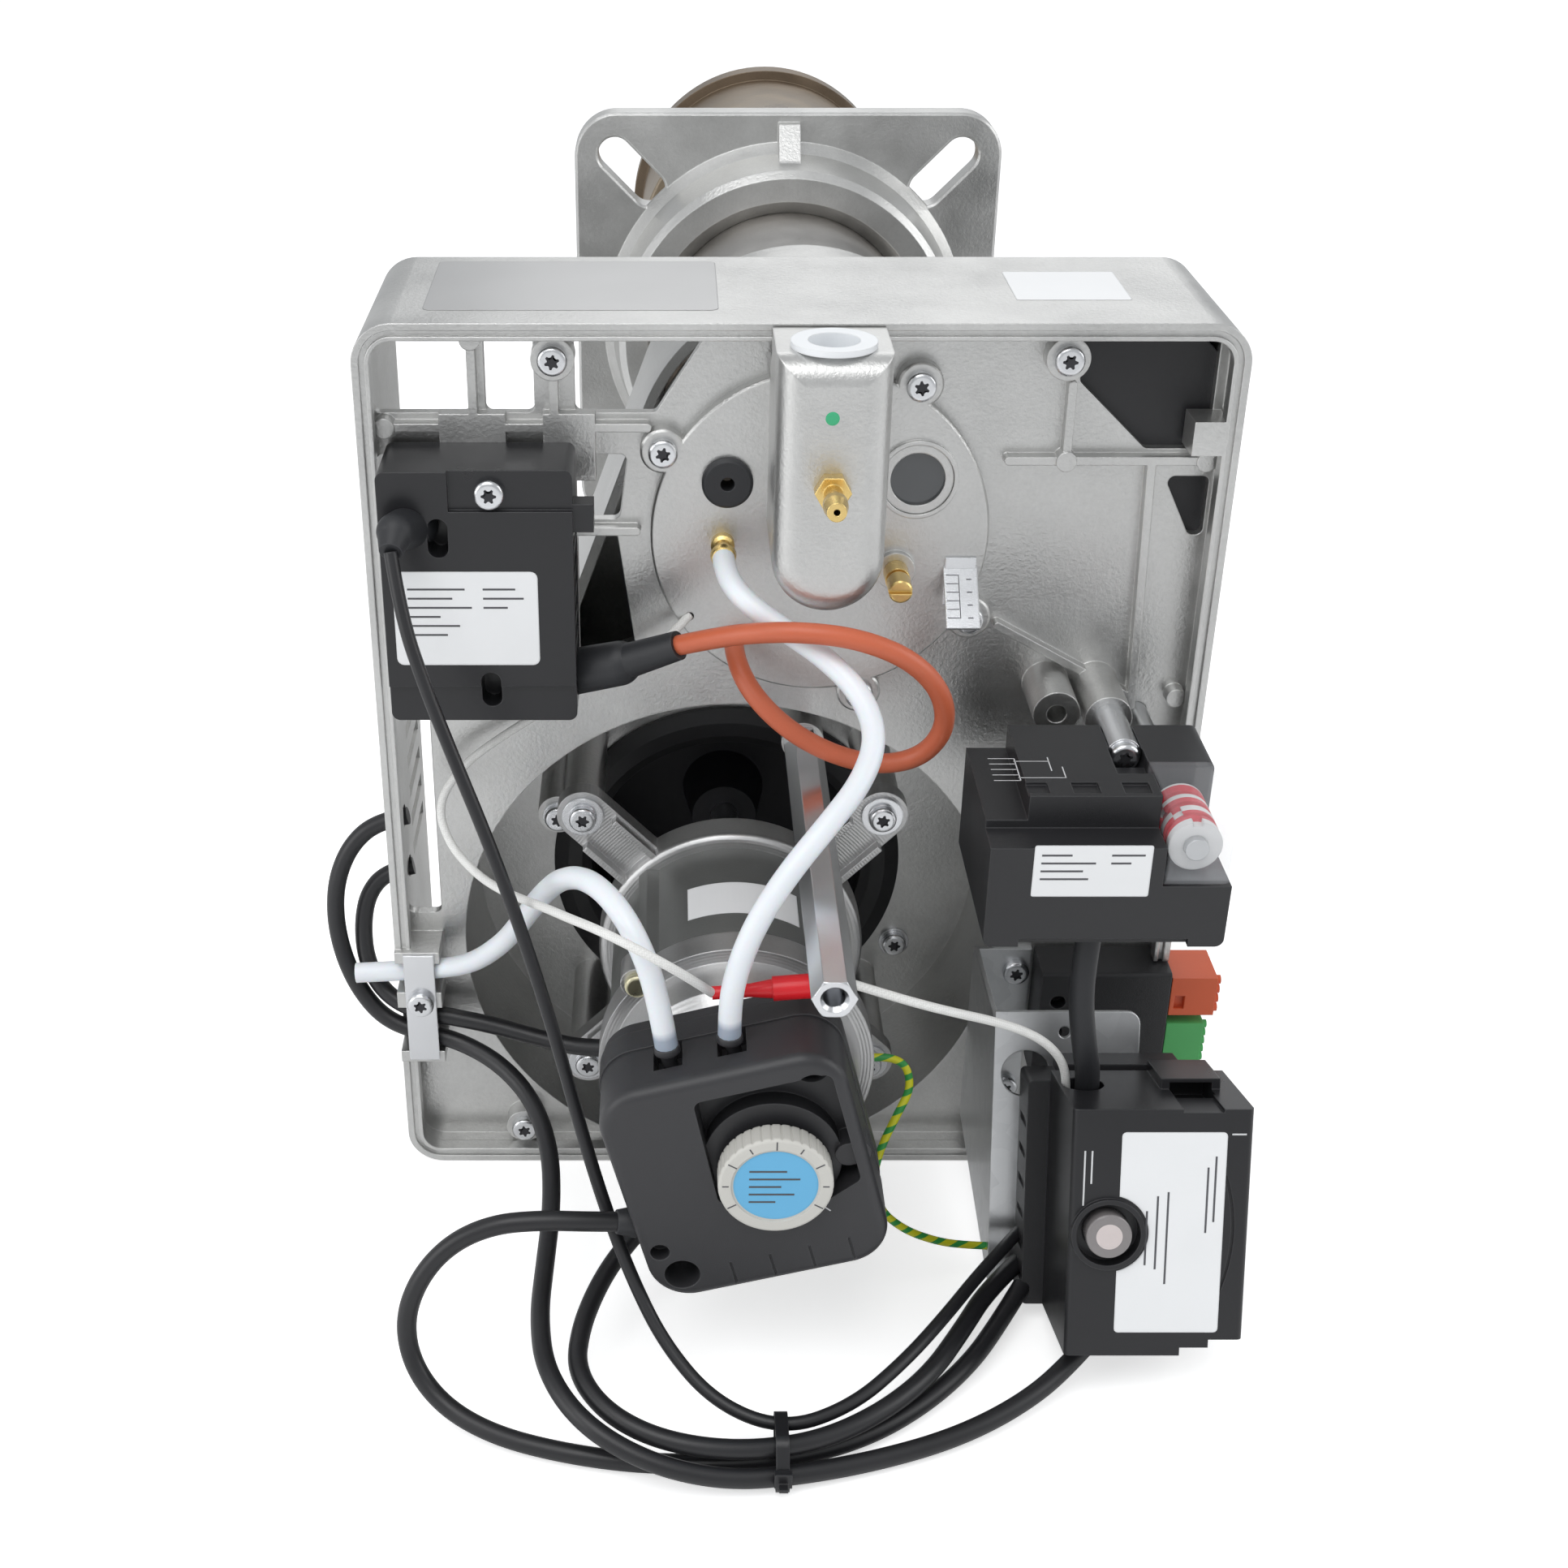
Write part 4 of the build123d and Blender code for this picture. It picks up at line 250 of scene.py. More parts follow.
# %% [markdown]
# ## Finishes
# A finish is one Principled shader whose constants are typed in, with the skin group feeding
# colour, roughness and normal. The cast pieces are grainy aluminium, the plastics are nearly
# black with a moulded texture, and fasteners are bright zinc.

# %% Helper: a finish from the skin group


def finish(name, base, rough, metal=0.0, edge_highlight=None, grain=900.0, depth=0.3, patch=0.1, edge=0.5, **sockets):
    """Material with a grainy skin and a painted highlight on its edges. sockets are other Principled values,
    with _ for a space.
    """
    paint = bpy.data.materials.new(name)
    paint.use_nodes = True
    tree = paint.node_tree
    shader = tree.nodes["Principled BSDF"]
    shader.inputs["Metallic"].default_value = metal
    for key, value in sockets.items():
        shader.inputs[key.replace("_", " ")].default_value = value
    skin = tree.nodes.new("ShaderNodeGroup")
    skin.node_tree = grain_and_edge_highlight
    skin.name = "skin"
    # painted edge highlight: by default a lighter copy of the base colour
    edge_highlight = edge_highlight or tuple(min(1.0, c * 1.25 + 0.02) for c in base)
    for key, value in (("Base", (*base, 1)), ("Edge Highlight", (*edge_highlight, 1)), ("Roughness", rough),
                       ("Grain Scale", grain), ("Grain Depth", depth), ("Patchiness", patch),
                       ("Edge Amount", edge)):
        skin.inputs[key].default_value = value
    tree.links.new(skin.outputs["Color"], shader.inputs["Base Color"])
    tree.links.new(skin.outputs["Roughness"], shader.inputs["Roughness"])
    tree.links.new(skin.outputs["Normal"], shader.inputs["Normal"])
    return paint


def recolour(paint, colour_of):
    """Puts colour_of(tree, skin colour) between the skin and the shader."""
    tree = paint.node_tree
    shader = tree.nodes["Principled BSDF"]
    skin = tree.nodes["skin"]
    tree.links.new(colour_of(tree, skin.outputs["Color"]), shader.inputs["Base Color"])
    return paint


# %% Metals
cast = finish("cast_aluminium", (0.61, 0.61, 0.60), 0.35, 0.95, grain=620, depth=0.8,
              patch=0.24, edge=0.8)
cast_fine = finish("cast_aluminium_fine", (0.62, 0.62, 0.61), 0.35, 0.95, grain=760, depth=0.7,
                   patch=0.20, edge=0.8)
zinc = finish("bright_zinc", (0.74, 0.75, 0.77), 0.24, 1.0, grain=1600, depth=0.08, patch=0.10)
zinc_yellow = finish("yellow_zinc", (0.70, 0.66, 0.46), 0.30, 1.0, grain=1600, depth=0.1, patch=0.2)
steel = finish("bright_steel", (0.62, 0.63, 0.64), 0.30, 1.0, grain=1500, depth=0.1, patch=0.12)
brass = finish("turned_brass", (0.82, 0.60, 0.24), 0.27, 1.0, grain=1500, depth=0.1, patch=0.18)
laminations = finish("painted_stator", (0.20, 0.205, 0.20), 0.42, 0.6, grain=1200, depth=0.2, patch=0.2)
fan_black = finish("black_fan_sheet", (0.05, 0.05, 0.055), 0.45, 0.3, grain=900, depth=0.2)

# %% Turned aluminium with lathe rings
turned = finish("turned_aluminium", (0.58, 0.58, 0.58), 0.35, 0.92, grain=900, depth=0.3, patch=0.2)


def add_rings(paint, centre, scale, strength):
    """Adds lathe rings round a line along Y through centre, over the skin's normal."""
    tree = paint.node_tree
    rings = tree.nodes.new("ShaderNodeGroup")
    rings.node_tree = lathe_rings
    rings.inputs["Centre"].default_value = centre
    rings.inputs["Scale"].default_value = scale
    bump = add_node(tree, "Bump", {"Strength": strength, "Distance": 0.0001})
    tree.links.new(rings.outputs["Height"], bump.inputs["Height"])
    tree.links.new(tree.nodes["skin"].outputs["Normal"], bump.inputs["Normal"])
    tree.links.new(bump.outputs[0], tree.nodes["Principled BSDF"].inputs["Normal"])
    return paint


add_rings(turned, at(FAN_X, 0, FAN_Z), 260.0, 0.35)

# %% Galvanised sheet: large flat crystals of zinc
galvanised = finish("galvanised_sheet", (0.70, 0.71, 0.72), 0.34, 1.0, grain=900, depth=0.1, patch=0.08)


def spangle(tree, colour):
    """Crystals of different brightness."""
    place = add_node(tree, "TexCoord")
    cells = add_node(tree, "TexVoronoi", {"Scale": 160.0, "Randomness": 1.0})
    tree.links.new(place.outputs["Object"], cells.inputs["Vector"])
    grey = add_node(tree, "RGBToBW")
    tree.links.new(cells.outputs["Color"], grey.inputs[0])
    factor = maths(tree, "MULTIPLY", grey.outputs[0], 0.55)
    return blend_colours(tree, factor, colour, (0.86, 0.87, 0.88, 1))


recolour(galvanised, spangle)

# %% Heat-tinted blast tube
# The mouth of the tube has been hot: straw and brown towards the flame, bare steel behind.
tube_steel = finish("tube_steel", (0.46, 0.45, 0.44), 0.36, 0.95, grain=900, depth=0.2, patch=0.3)


def heat_tint(tree, colour):
    """Tint that grows along the tube."""
    place = add_node(tree, "TexCoord")
    split = add_node(tree, "SeparateXYZ")
    tree.links.new(place.outputs["Object"], split.inputs[0])
    ramp = add_node(tree, "ValToRGB")
    low, high = ramp.color_ramp.elements[0], ramp.color_ramp.elements[1]
    low.position, low.color = 0.35, (1, 1, 1, 1)
    high.position, high.color = 0.98, (0.50, 0.40, 0.30, 1)
    middle = ramp.color_ramp.elements.new(0.72)
    middle.color = (0.86, 0.74, 0.58, 1)
    span = maths(tree, "DIVIDE", split.outputs["Y"], 0.49)
    tree.links.new(span, ramp.inputs[0])
    mixed = add_node(tree, "Mix", data_type="RGBA", blend_type="MULTIPLY")
    mixed.inputs[0].default_value = 1.0
    tree.links.new(colour, mixed.inputs[6])
    tree.links.new(ramp.outputs[0], mixed.inputs[7])
    return mixed.outputs[2]


recolour(tube_steel, heat_tint)

# %% Plastics and rubbers
# painted highlight colour for the edges of black plastics
BLACK_EDGE_HIGHLIGHT = (0.10, 0.10, 0.105)
black_box = finish("black_moulding", (0.018, 0.018, 0.02), 0.42, edge_highlight=BLACK_EDGE_HIGHLIGHT,
                   grain=2200, depth=0.35, edge=0.35)
black_smooth = finish("black_smooth_moulding", (0.014, 0.014, 0.016), 0.30, edge_highlight=BLACK_EDGE_HIGHLIGHT,
                      grain=2400, depth=0.15, edge=0.3)
switch_black = finish("switch_moulding", (0.032, 0.032, 0.035), 0.40, edge_highlight=(0.13, 0.13, 0.135),
                      grain=2200, depth=0.3, edge=0.4)
black_rubber = finish("black_rubber", (0.020, 0.021, 0.024), 0.52, edge_highlight=(0.09, 0.09, 0.10),
                      grain=1400, depth=0.25)
sheath = finish("cable_sheath", (0.016, 0.016, 0.018), 0.36, edge_highlight=(0.05, 0.05, 0.055),
                grain=1500, depth=0.2, patch=0.2)
white_plastic = finish("white_plastic", (0.80, 0.82, 0.84), 0.35, grain=1800, depth=0.1, patch=0.05)
dial_grey = finish("dial_plastic", (0.62, 0.61, 0.57), 0.42, grain=1800, depth=0.15, patch=0.06)
orange_plug = finish("orange_plug", (0.66, 0.11, 0.035), 0.45, grain=1600, depth=0.15)
green_plug = finish("green_plug", (0.08, 0.42, 0.12), 0.45, grain=1600, depth=0.15)
red_nylon = finish("red_nylon", (0.72, 0.012, 0.02), 0.30, grain=1600, depth=0.1)
ceramic = finish("glazed_ceramic", (0.80, 0.77, 0.70), 0.2, grain=900, depth=0.05, Coat_Weight=0.4)
paper = finish("label_film", (0.84, 0.85, 0.86), 0.38, grain=1800, depth=0.05, patch=0.03, edge=0.0)
dial_blue = finish("blue_label", (0.14, 0.47, 0.76), 0.38, grain=1800, depth=0.05, patch=0.03, edge=0.0)
ink = finish("grey_ink", (0.10, 0.10, 0.11), 0.6, grain=1800, depth=0.02, edge=0.0)
pale_ink = finish("white_ink", (0.70, 0.71, 0.72), 0.5, grain=1800, depth=0.02, edge=0.0)
green_paint = finish("green_paint", (0.05, 0.42, 0.20), 0.45, grain=900, depth=0.2, edge=0.0)
plate_film = finish("satin_plate", (0.50, 0.50, 0.50), 0.30, 0.8, grain=1500, depth=0.06,
                    patch=0.05, edge=0.0)
smoky = finish("smoky_lens", (0.22, 0.205, 0.205), 0.16, grain=900, depth=0.05, Coat_Weight=0.6)

# %% Silicone: brick red for the ignition lead, milky for the hoses
silicone_red = finish("silicone_red", (0.56, 0.13, 0.06), 0.40, edge_highlight=(0.62, 0.18, 0.10),
                      grain=1400, depth=0.15, patch=0.12,
                      Subsurface_Weight=0.08, Subsurface_Scale=0.002)
silicone_clear = finish("silicone_clear", (0.80, 0.84, 0.88), 0.34, edge_highlight=(0.86, 0.88, 0.90), grain=900,
                        depth=0.05, patch=0.05, Subsurface_Weight=0.25, Subsurface_Scale=0.004)

# %% Hose ends: the stem of the switch shows through the milky wall
HOSE_ENDS = (at(-44.5, -115, 132), at(-23.8, -115, 137))


def stem_shadow(tree, colour):
    """Darker blue near the two hose ends."""
    place = add_node(tree, "TexCoord")
    for end in HOSE_ENDS:
        gap = add_node(tree, "VectorMath", operation="DISTANCE")
        tree.links.new(place.outputs["Object"], gap.inputs[0])
        gap.inputs[1].default_value = end
        near = add_node(tree, "MapRange")
        near.inputs["From Min"].default_value = 0.011
        near.inputs["From Max"].default_value = 0.014
        near.inputs["To Min"].default_value = 0.75
        near.inputs["To Max"].default_value = 0.0
        tree.links.new(gap.outputs["Value"], near.inputs["Value"])
        colour = blend_colours(tree, near.outputs[0], colour, (0.22, 0.28, 0.38, 1))
    return colour


recolour(silicone_clear, stem_shadow)

# %% Glass-fibre sleeve: a fine woven check
braid = finish("glass_braid", (0.82, 0.82, 0.80), 0.62, grain=1500, depth=0.3, patch=0.08)


def weave(tree, colour):
    """Fine check of a woven sleeve."""
    place = add_node(tree, "TexCoord")
    turn = add_node(tree, "Mapping", {"Rotation": (0.6, 0.7, 0.78)})
    check = add_node(tree, "TexChecker", {"Scale": 1500.0})
    tree.links.new(place.outputs["Object"], turn.inputs["Vector"])
    tree.links.new(turn.outputs[0], check.inputs["Vector"])
    share = maths(tree, "MULTIPLY", check.outputs["Fac"], 0.35)
    return blend_colours(tree, share, colour, (0.55, 0.55, 0.53, 1))


recolour(braid, weave)

# %% Earth wire: yellow with a green stripe that winds round it
earth = finish("earth_wire", (0.62, 0.62, 0.02), 0.40, grain=1500, depth=0.1)


def green_stripe(tree, colour):
    """Green bands laid slantwise over the yellow."""
    place = add_node(tree, "TexCoord")
    turn = add_node(tree, "Mapping", {"Rotation": (0.5, 0.4, 0.2)})
    bands = add_node(tree, "TexWave", {"Scale": 62.0, "Distortion": 1.0}, bands_direction="Z")
    tree.links.new(place.outputs["Object"], turn.inputs["Vector"])
    tree.links.new(turn.outputs[0], bands.inputs["Vector"])
    mask = maths(tree, "GREATER_THAN", bands.outputs["Fac"], 0.62)
    return blend_colours(tree, mask, colour, (0.03, 0.30, 0.06, 1))


recolour(earth, green_stripe)

# %% Cam drum: red cams between white ones, in bands along its axis
cams = finish("cam_plastic", (0.70, 0.02, 0.04), 0.38, grain=1500, depth=0.1)
CAM_PITCH = 0.0088
CAM_START = at(0, -88.0, 0).y


def cam_bands(tree, colour):
    """White bands at an even pitch along Y."""
    place = add_node(tree, "TexCoord")
    split = add_node(tree, "SeparateXYZ")
    tree.links.new(place.outputs["Object"], split.inputs[0])
    along = maths(tree, "SUBTRACT", split.outputs["Y"], CAM_START)
    turns = maths(tree, "FRACT", maths(tree, "DIVIDE", along, CAM_PITCH), 0.0)
    return blend_colours(tree, maths(tree, "LESS_THAN", turns, 0.36), colour, (0.80, 0.80, 0.80, 1))


recolour(cams, cam_bands)

# %% Clear polycarbonate and the dark sight glass


def glassy(name, colour, alpha, rough):
    """Thin clear plastic: mostly see-through, with a sharp shine."""
    return finish(name, colour, rough, grain=900, depth=0.02, patch=0.02, edge=0.6,
                  Alpha=alpha, Coat_Weight=0.5)


clear_cover = glassy("clear_polycarbonate", (0.62, 0.64, 0.67), 0.11, 0.08)
sight = finish("dark_sight_glass", (0.05, 0.055, 0.06), 0.08, grain=900, depth=0.02, edge=0.0,
               Coat_Weight=1.0)

# %% Every solid gets its finish
FINISHES = {
    "body": cast, "fan_casing": cast, "mounting_flange": cast_fine, "closing_disk": cast_fine,
    "gas_block": cast_fine, "motor_flange": turned, "motor_end_shield": turned,
    "motor_stator": laminations, "motor_shaft": steel, "impeller": fan_black, "inlet_ring": black_box,
    "air_box": black_box, "damper": steel, "cam_drum": cams, "servo_housing": black_box,
    "servo_cover": clear_cover, "transformer": black_smooth, "transformer_boots": black_rubber,
    "hex_standoff": zinc, "tie_rods": zinc_yellow, "casing_screws": zinc, "washer_screws": zinc,
    "fixing_screws": zinc, "flange_screw": zinc, "clamp_strap": zinc, "scale_plate": zinc,
    "head_screw": brass, "test_nipple": brass, "air_tap": brass, "port_plug": white_plastic,
    "sight_glass": sight, "grommet": black_rubber, "switch_base": switch_black,
    "switch_cover": switch_black, "setpoint_dial": dial_grey, "control_housing": black_smooth,
    "control_base": black_box, "reset_button": smoky, "control_bracket": galvanised,
    "connector_housing": black_box, "plug_seven": green_plug, "plug_four": orange_plug,
    "blast_tube": tube_steel, "gas_tube": steel, "diffuser": tube_steel, "electrodes": ceramic,
    "lead_connectors": red_nylon, "cable_tie": black_smooth,
}
for name, paint in FINISHES.items():
    mesh = nodes[name].data
    mesh.materials.clear()
    mesh.materials.append(paint)
print("finished solids:", len(FINISHES))

# %% [markdown]
# ## Floor
# A plain pale floor catches a soft shadow and shows white in the polished parts.

# %% Floor
bpy.ops.object.select_all(action="DESELECT")
bpy.ops.mesh.primitive_plane_add(size=8, location=(0, 0, -0.0006))
floor = bpy.context.object
floor.name = "floor"
floor_paint = bpy.data.materials.new("floor_white")
floor_paint.use_nodes = True
floor_tree = floor_paint.node_tree
floor_shader = floor_tree.nodes["Principled BSDF"]
floor_shader.inputs["Base Color"].default_value = (0.93, 0.93, 0.93, 1)
floor_shader.inputs["Roughness"].default_value = 0.9
floor_shader.inputs["Specular IOR Level"].default_value = 0.1
floor_out = floor_tree.nodes["Material Output"]
floor_glow = floor_tree.nodes.new("ShaderNodeEmission")
floor_glow.inputs["Color"].default_value = (1, 1, 1, 1)
floor_glow.inputs["Strength"].default_value = 0.55
floor_path = floor_tree.nodes.new("ShaderNodeLightPath")
floor_none = floor_tree.nodes.new("ShaderNodeEmission")
floor_none.inputs["Strength"].default_value = 0.0
floor_pick = floor_tree.nodes.new("ShaderNodeMixShader")
floor_sum = floor_tree.nodes.new("ShaderNodeAddShader")
floor_tree.links.new(floor_path.outputs["Is Camera Ray"], floor_pick.inputs[0])
floor_tree.links.new(floor_none.outputs[0], floor_pick.inputs[1])
floor_tree.links.new(floor_glow.outputs[0], floor_pick.inputs[2])
floor_tree.links.new(floor_shader.outputs[0], floor_sum.inputs[0])
floor_tree.links.new(floor_pick.outputs[0], floor_sum.inputs[1])
floor_tree.links.new(floor_sum.outputs[0], floor_out.inputs["Surface"])
floor.data.materials.append(floor_paint)

# %% [markdown]
# ## Cables and hoses
# Every cable leaves its gland straight before it sags. The points are
# those of the solid's route, and a NURBS line through their hull gives the easy bends of rubber.
# The ignition lead and hoses are thick and springy, and the probe lead is limp.

# %% Routes, in millimetres of the drawing
CORD_POINTS = {
    "ignition_cable": [
        (-21, 9, 232), (-21, -6, 230.5), (-14.5, -17, 221), (-1.5, -22, 209.5), (15, -23.5, 200.5),
        (32, -25.5, 197.5), (46, -29.5, 203.5), (52.5, -35.5, 218), (49, -41, 234.5), (37.5, -45, 248),
        (20.5, -46.5, 256), (2.5, -46, 258.5), (-15, -40.5, 256), (-29, -31.5, 250), (-41, -22, 243),
    ],
    "air_hose": [
        (-25.4, -3, 269), (-25.2, -17, 267.5), (-18.5, -28, 262), (-5.5, -33, 254), (9, -41.5, 247),
        (20.5, -52, 238.5), (25, -66, 229.5), (19.5, -80.5, 220.5), (7.5, -93.5, 211), (-5, -104, 200),
        (-15.5, -111.5, 186), (-22, -115, 170), (-24.5, -115.5, 155), (-24.2, -115, 141),
    ],
    "vent_hose": [
        (-45, -114.5, 136), (-47.5, -114.5, 154), (-52.5, -110, 171.5), (-61, -98, 182.5),
        (-71.5, -82, 184), (-81.5, -65, 174.5), (-90, -49.5, 158), (-98, -35.5, 139),
        (-107, -22.5, 120.5), (-120, -9, 103), (-134, 1.8, 93.5), (-151, 4, 91), (-168, 4, 90),
    ],
    "probe_lead": [
        (-37, 9, 241), (-46, 0, 234), (-60, 3.5, 224.5), (-75.5, 7, 213.5), (-91, 8, 203),
        (-106.5, 6, 193.5), (-121.5, 2, 183.5), (-131, -4.5, 170.5), (-126, -16, 160),
        (-115, -30.5, 155.5), (-104.5, -46.5, 158), (-95, -63, 164), (-86, -79.5, 170.5),
        (-78, -94.5, 176), (-68.5, -108.5, 180.5), (-56.5, -120, 181), (-43, -122.5, 174),
        (-34.5, -115, 163), (-30, -105, 153),
    ],
    "probe_lead_tail": [
        (16, -105, 157), (29, -107, 153.5), (41.5, -106.5, 149), (53.5, -104, 144), (65, -100, 138.5),
        (76, -95.5, 132), (86, -90.5, 123.5), (93.5, -85.5, 113), (97.5, -81.5, 102), (98.5, -80, 91),
    ],
    "transformer_cable": [
        (-137, -38, 284), (-134, -46, 265), (-126.5, -53.5, 242), (-117, -60.5, 217.5),
        (-107, -67, 192), (-98, -73.5, 166.5), (-90, -80.5, 141.5), (-82.5, -89, 116.5),
        (-75.5, -99, 92), (-67.5, -111, 68.5), (-58, -124.5, 47), (-46, -139.5, 28.5),
        (-28.5, -155, 16), (-5, -164.5, 12.8), (19, -155.5, 15), (39, -137, 18.5), (56, -116, 21),
        (71.5, -94.5, 23), (87.5, -75.5, 25.5),
    ],
    "switch_cable": [
        (-56, -122, 69), (-72, -125, 71.5), (-89, -126, 73), (-106, -126, 71), (-121, -127, 63),
        (-132, -130, 50), (-137.5, -134, 34), (-134.5, -140, 18.5), (-123.5, -148.5, 8),
        (-106, -158, 4.2), (-83, -166, 4), (-56, -171.5, 4.3), (-29, -172.5, 5), (-2, -169.5, 5),
        (24, -159.5, 4.2), (46, -144, 4.8), (64, -126, 6.5), (77, -107, 8.5), (87.5, -91, 12.5),
    ],
    "motor_cable": [
        (-146, 24, 150), (-158, 24, 147.5), (-169, 22.5, 138), (-175.5, 20.5, 123.5),
        (-177, 18, 107.5), (-174.5, 14.5, 92), (-168.5, 10.5, 78), (-159, 6.5, 67), (-146, 3.5, 62.5),
        (-129.5, 0.5, 60.5), (-111.5, -10, 56.5), (-97.5, -26, 50), (-90, -47.5, 42), (-88.5, -72, 34),
        (-90, -97.5, 28.5), (-91, -123, 26.5), (-87.5, -148.5, 24.5), (-74, -169, 20),
        (-51.5, -179.5, 12.5), (-25, -181.5, 6.5), (2, -177, 5), (29, -169.5, 4.2), (55, -160, 4.6),
        (78, -147, 6), (97, -131.5, 8.5), (113, -116, 15.6),
    ],
    "shield_cable": [
        (-36, -66, 51.5), (-44.5, -73, 39.5), (-55.5, -81.5, 31.5), (-65, -94.5, 27.5),
        (-71.5, -110.5, 26), (-76, -128, 24.5), (-77, -145.5, 22.5), (-68, -160.5, 19.5),
        (-53, -170.5, 17), (-34, -175, 15), (-13, -174, 13), (9, -168, 12), (30, -155.5, 12.5),
        (48, -138, 12.7), (62, -116, 13.5), (74, -95, 14), (87.5, -79, 13.5),
    ],
    "inner_loop": [
        (-146, 30, 124), (-156.5, 29, 122), (-164.5, 26.5, 113.5), (-167, 22, 101), (-165.5, 15.5, 88),
        (-158.5, 9, 77.5), (-147, 4.5, 72.2), (-133, 2.5, 70.5), (-115, 0, 68), (-95, -5, 64.5),
        (-75, -11, 63.5), (-56, -15, 68),
    ],
    "servo_cable": [
        (102, -74, 166), (100, -78, 150.5), (99.5, -81, 134), (102, -83, 117), (105.5, -81.5, 102),
        (105.5, -80, 90),
    ],
    "earth_wire": [
        (29.2, -62, 96), (40.5, -62.5, 97.5), (45, -66.5, 87), (39, -72.5, 77.5), (33, -77.5, 66),
        (30.5, -81, 53.5), (34, -82, 41), (43, -80.5, 31), (54, -77, 23), (65, -73, 17),
        (77.5, -69, 13),
    ],
}

# %% Helper: a cord along its route


def lay_cord(node, radius, length, finish_of, slot, far_end, stiffness, pieces=()):
    """Smooth cord that stands for a solid one. length is not used."""
    points = [at(*p) for p in CORD_POINTS[node]]
    line = bpy.data.curves.new(node + "_line", "CURVE")
    line.dimensions = "3D"
    line.resolution_u = 10
    line.bevel_depth = radius * MM
    line.bevel_resolution = 5
    line.use_fill_caps = True
    spline = line.splines.new("NURBS")
    spline.points.add(len(points) - 1)
    for knot, place in zip(spline.points, points):
        knot.co = (*place, 1)
    spline.order_u = 3
    spline.use_endpoint_u = True
    cord = bpy.data.objects.new(node + "_cord", line)
    bpy.context.collection.objects.link(cord)
    line.materials.append(finish_of)
    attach(cord, "burner")
    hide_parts(node)
    return cord


# %% The twelve cords
CORDS = [
    ("ignition_cable", 3.6, 240, silicone_red, "silicone_red", "object", "medium", ()),
    ("air_hose", 4.0, 219, silicone_clear, "silicone_clear", "object", "medium", ()),
    ("vent_hose", 4.0, 248, silicone_clear, "silicone_clear", "bare", "medium", ()),
    ("probe_lead", 1.6, 312, braid, "glass_braid", "connector", "limp", (nodes["lead_connectors"],)),
    ("probe_lead_tail", 1.6, 118, braid, "glass_braid", "object", "limp", ()),
    ("transformer_cable", 2.4, 474, sheath, "black_cable", "object", "medium", ()),
    ("switch_cable", 3.5, 384, sheath, "black_cable", "object", "medium", ()),
    ("motor_cable", 3.5, 540, sheath, "black_cable", "object", "medium", (nodes["cable_tie"],)),
    ("shield_cable", 3.5, 320, sheath, "black_cable", "object", "medium", ()),
    ("inner_loop", 3.5, 171, sheath, "black_cable", "object", "limp", ()),
    ("servo_cable", 4.5, 78, black_rubber, "black_cable", "object", "medium", ()),
    ("earth_wire", 1.5, 128, earth, "earth_green", "object", "limp", ()),
]
for row in CORDS:
    lay_cord(*row)
print("cords:", len(CORDS))

# %% [markdown]
# ## Thin things: labels, marks and screw drives
# A label is a plane at its place, its corners rounded in edit mode, then given a thickness with
# Solidify so that its edge catches light. Labels here carry plain ruled bars and no words.

# %% Helpers for thin pieces


def alone(piece):
    """Selects this object and no other."""
    bpy.ops.object.select_all(action="DESELECT")
    piece.select_set(True)
    bpy.context.view_layer.objects.active = piece


def settle(piece, name, paint, body="burner"):
    """Names a finished piece, puts its place in its mesh and makes it ride on a body."""
    piece.name = name
    alone(piece)
    bpy.ops.object.transform_apply(location=True, rotation=True, scale=True)
    piece.data.materials.clear()
    piece.data.materials.append(paint)
    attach(piece, body)
    return piece


def thicken(piece, thickness):
    """Gives a flat piece a wall on its outer side."""
    alone(piece)
    wall = piece.modifiers.new("wall", "SOLIDIFY")
    wall.thickness = thickness * MM
    wall.offset = 1.0
    bpy.ops.object.modifier_apply(modifier="wall")


FACE_FRONT = (pi / 2, 0, 0)
FACE_UP = (0, 0, 0)
LABEL_T = 0.12
PRINT_T = 0.05
GLUE = 0.02  # from a face to the back of its label
PRINT_OUT = 0.15  # from a face to the back of the print on its label


def add_label(name, place, width, height, facing, paint, corner=2.0, body="burner"):
    """Rounded film label whose centre is at place."""
    bpy.ops.object.select_all(action="DESELECT")
    bpy.ops.mesh.primitive_plane_add(size=1, location=place, rotation=facing)
    label = bpy.context.object
    label.scale = (width * MM, height * MM, 1)
    bpy.ops.object.transform_apply(location=False, rotation=False, scale=True)
    bpy.ops.object.mode_set(mode="EDIT")
    bpy.ops.mesh.select_all(action="SELECT")
    bpy.ops.mesh.bevel(offset=corner * MM, segments=4, affect="VERTICES")
    bpy.ops.object.mode_set(mode="OBJECT")
    thicken(label, LABEL_T)
    return settle(label, name, paint, body)


def add_bars(name, place, facing, bars, paint, body="burner"):
    """Flat printed bars in one mesh. Each bar is (x, y, width, height) from place, in millimetres."""
    bpy.ops.object.select_all(action="DESELECT")
    turn = Matrix.Rotation(facing[0], 4, "X")
    first = True
    for x, y, width, height in bars:
        if first:
            bpy.ops.mesh.primitive_plane_add(size=1)
            sheet = bpy.context.object
            bpy.ops.object.mode_set(mode="EDIT")
            first = False
        else:
            bpy.ops.mesh.primitive_plane_add(size=1)
        bpy.ops.transform.resize(value=(width * MM, height * MM, 1))
        bpy.ops.transform.translate(value=(x * MM, y * MM, 0))
    bpy.ops.object.mode_set(mode="OBJECT")
    thicken(sheet, PRINT_T)
    sheet.matrix_world = Matrix.Translation(place) @ turn
    return settle(sheet, name, paint, body)


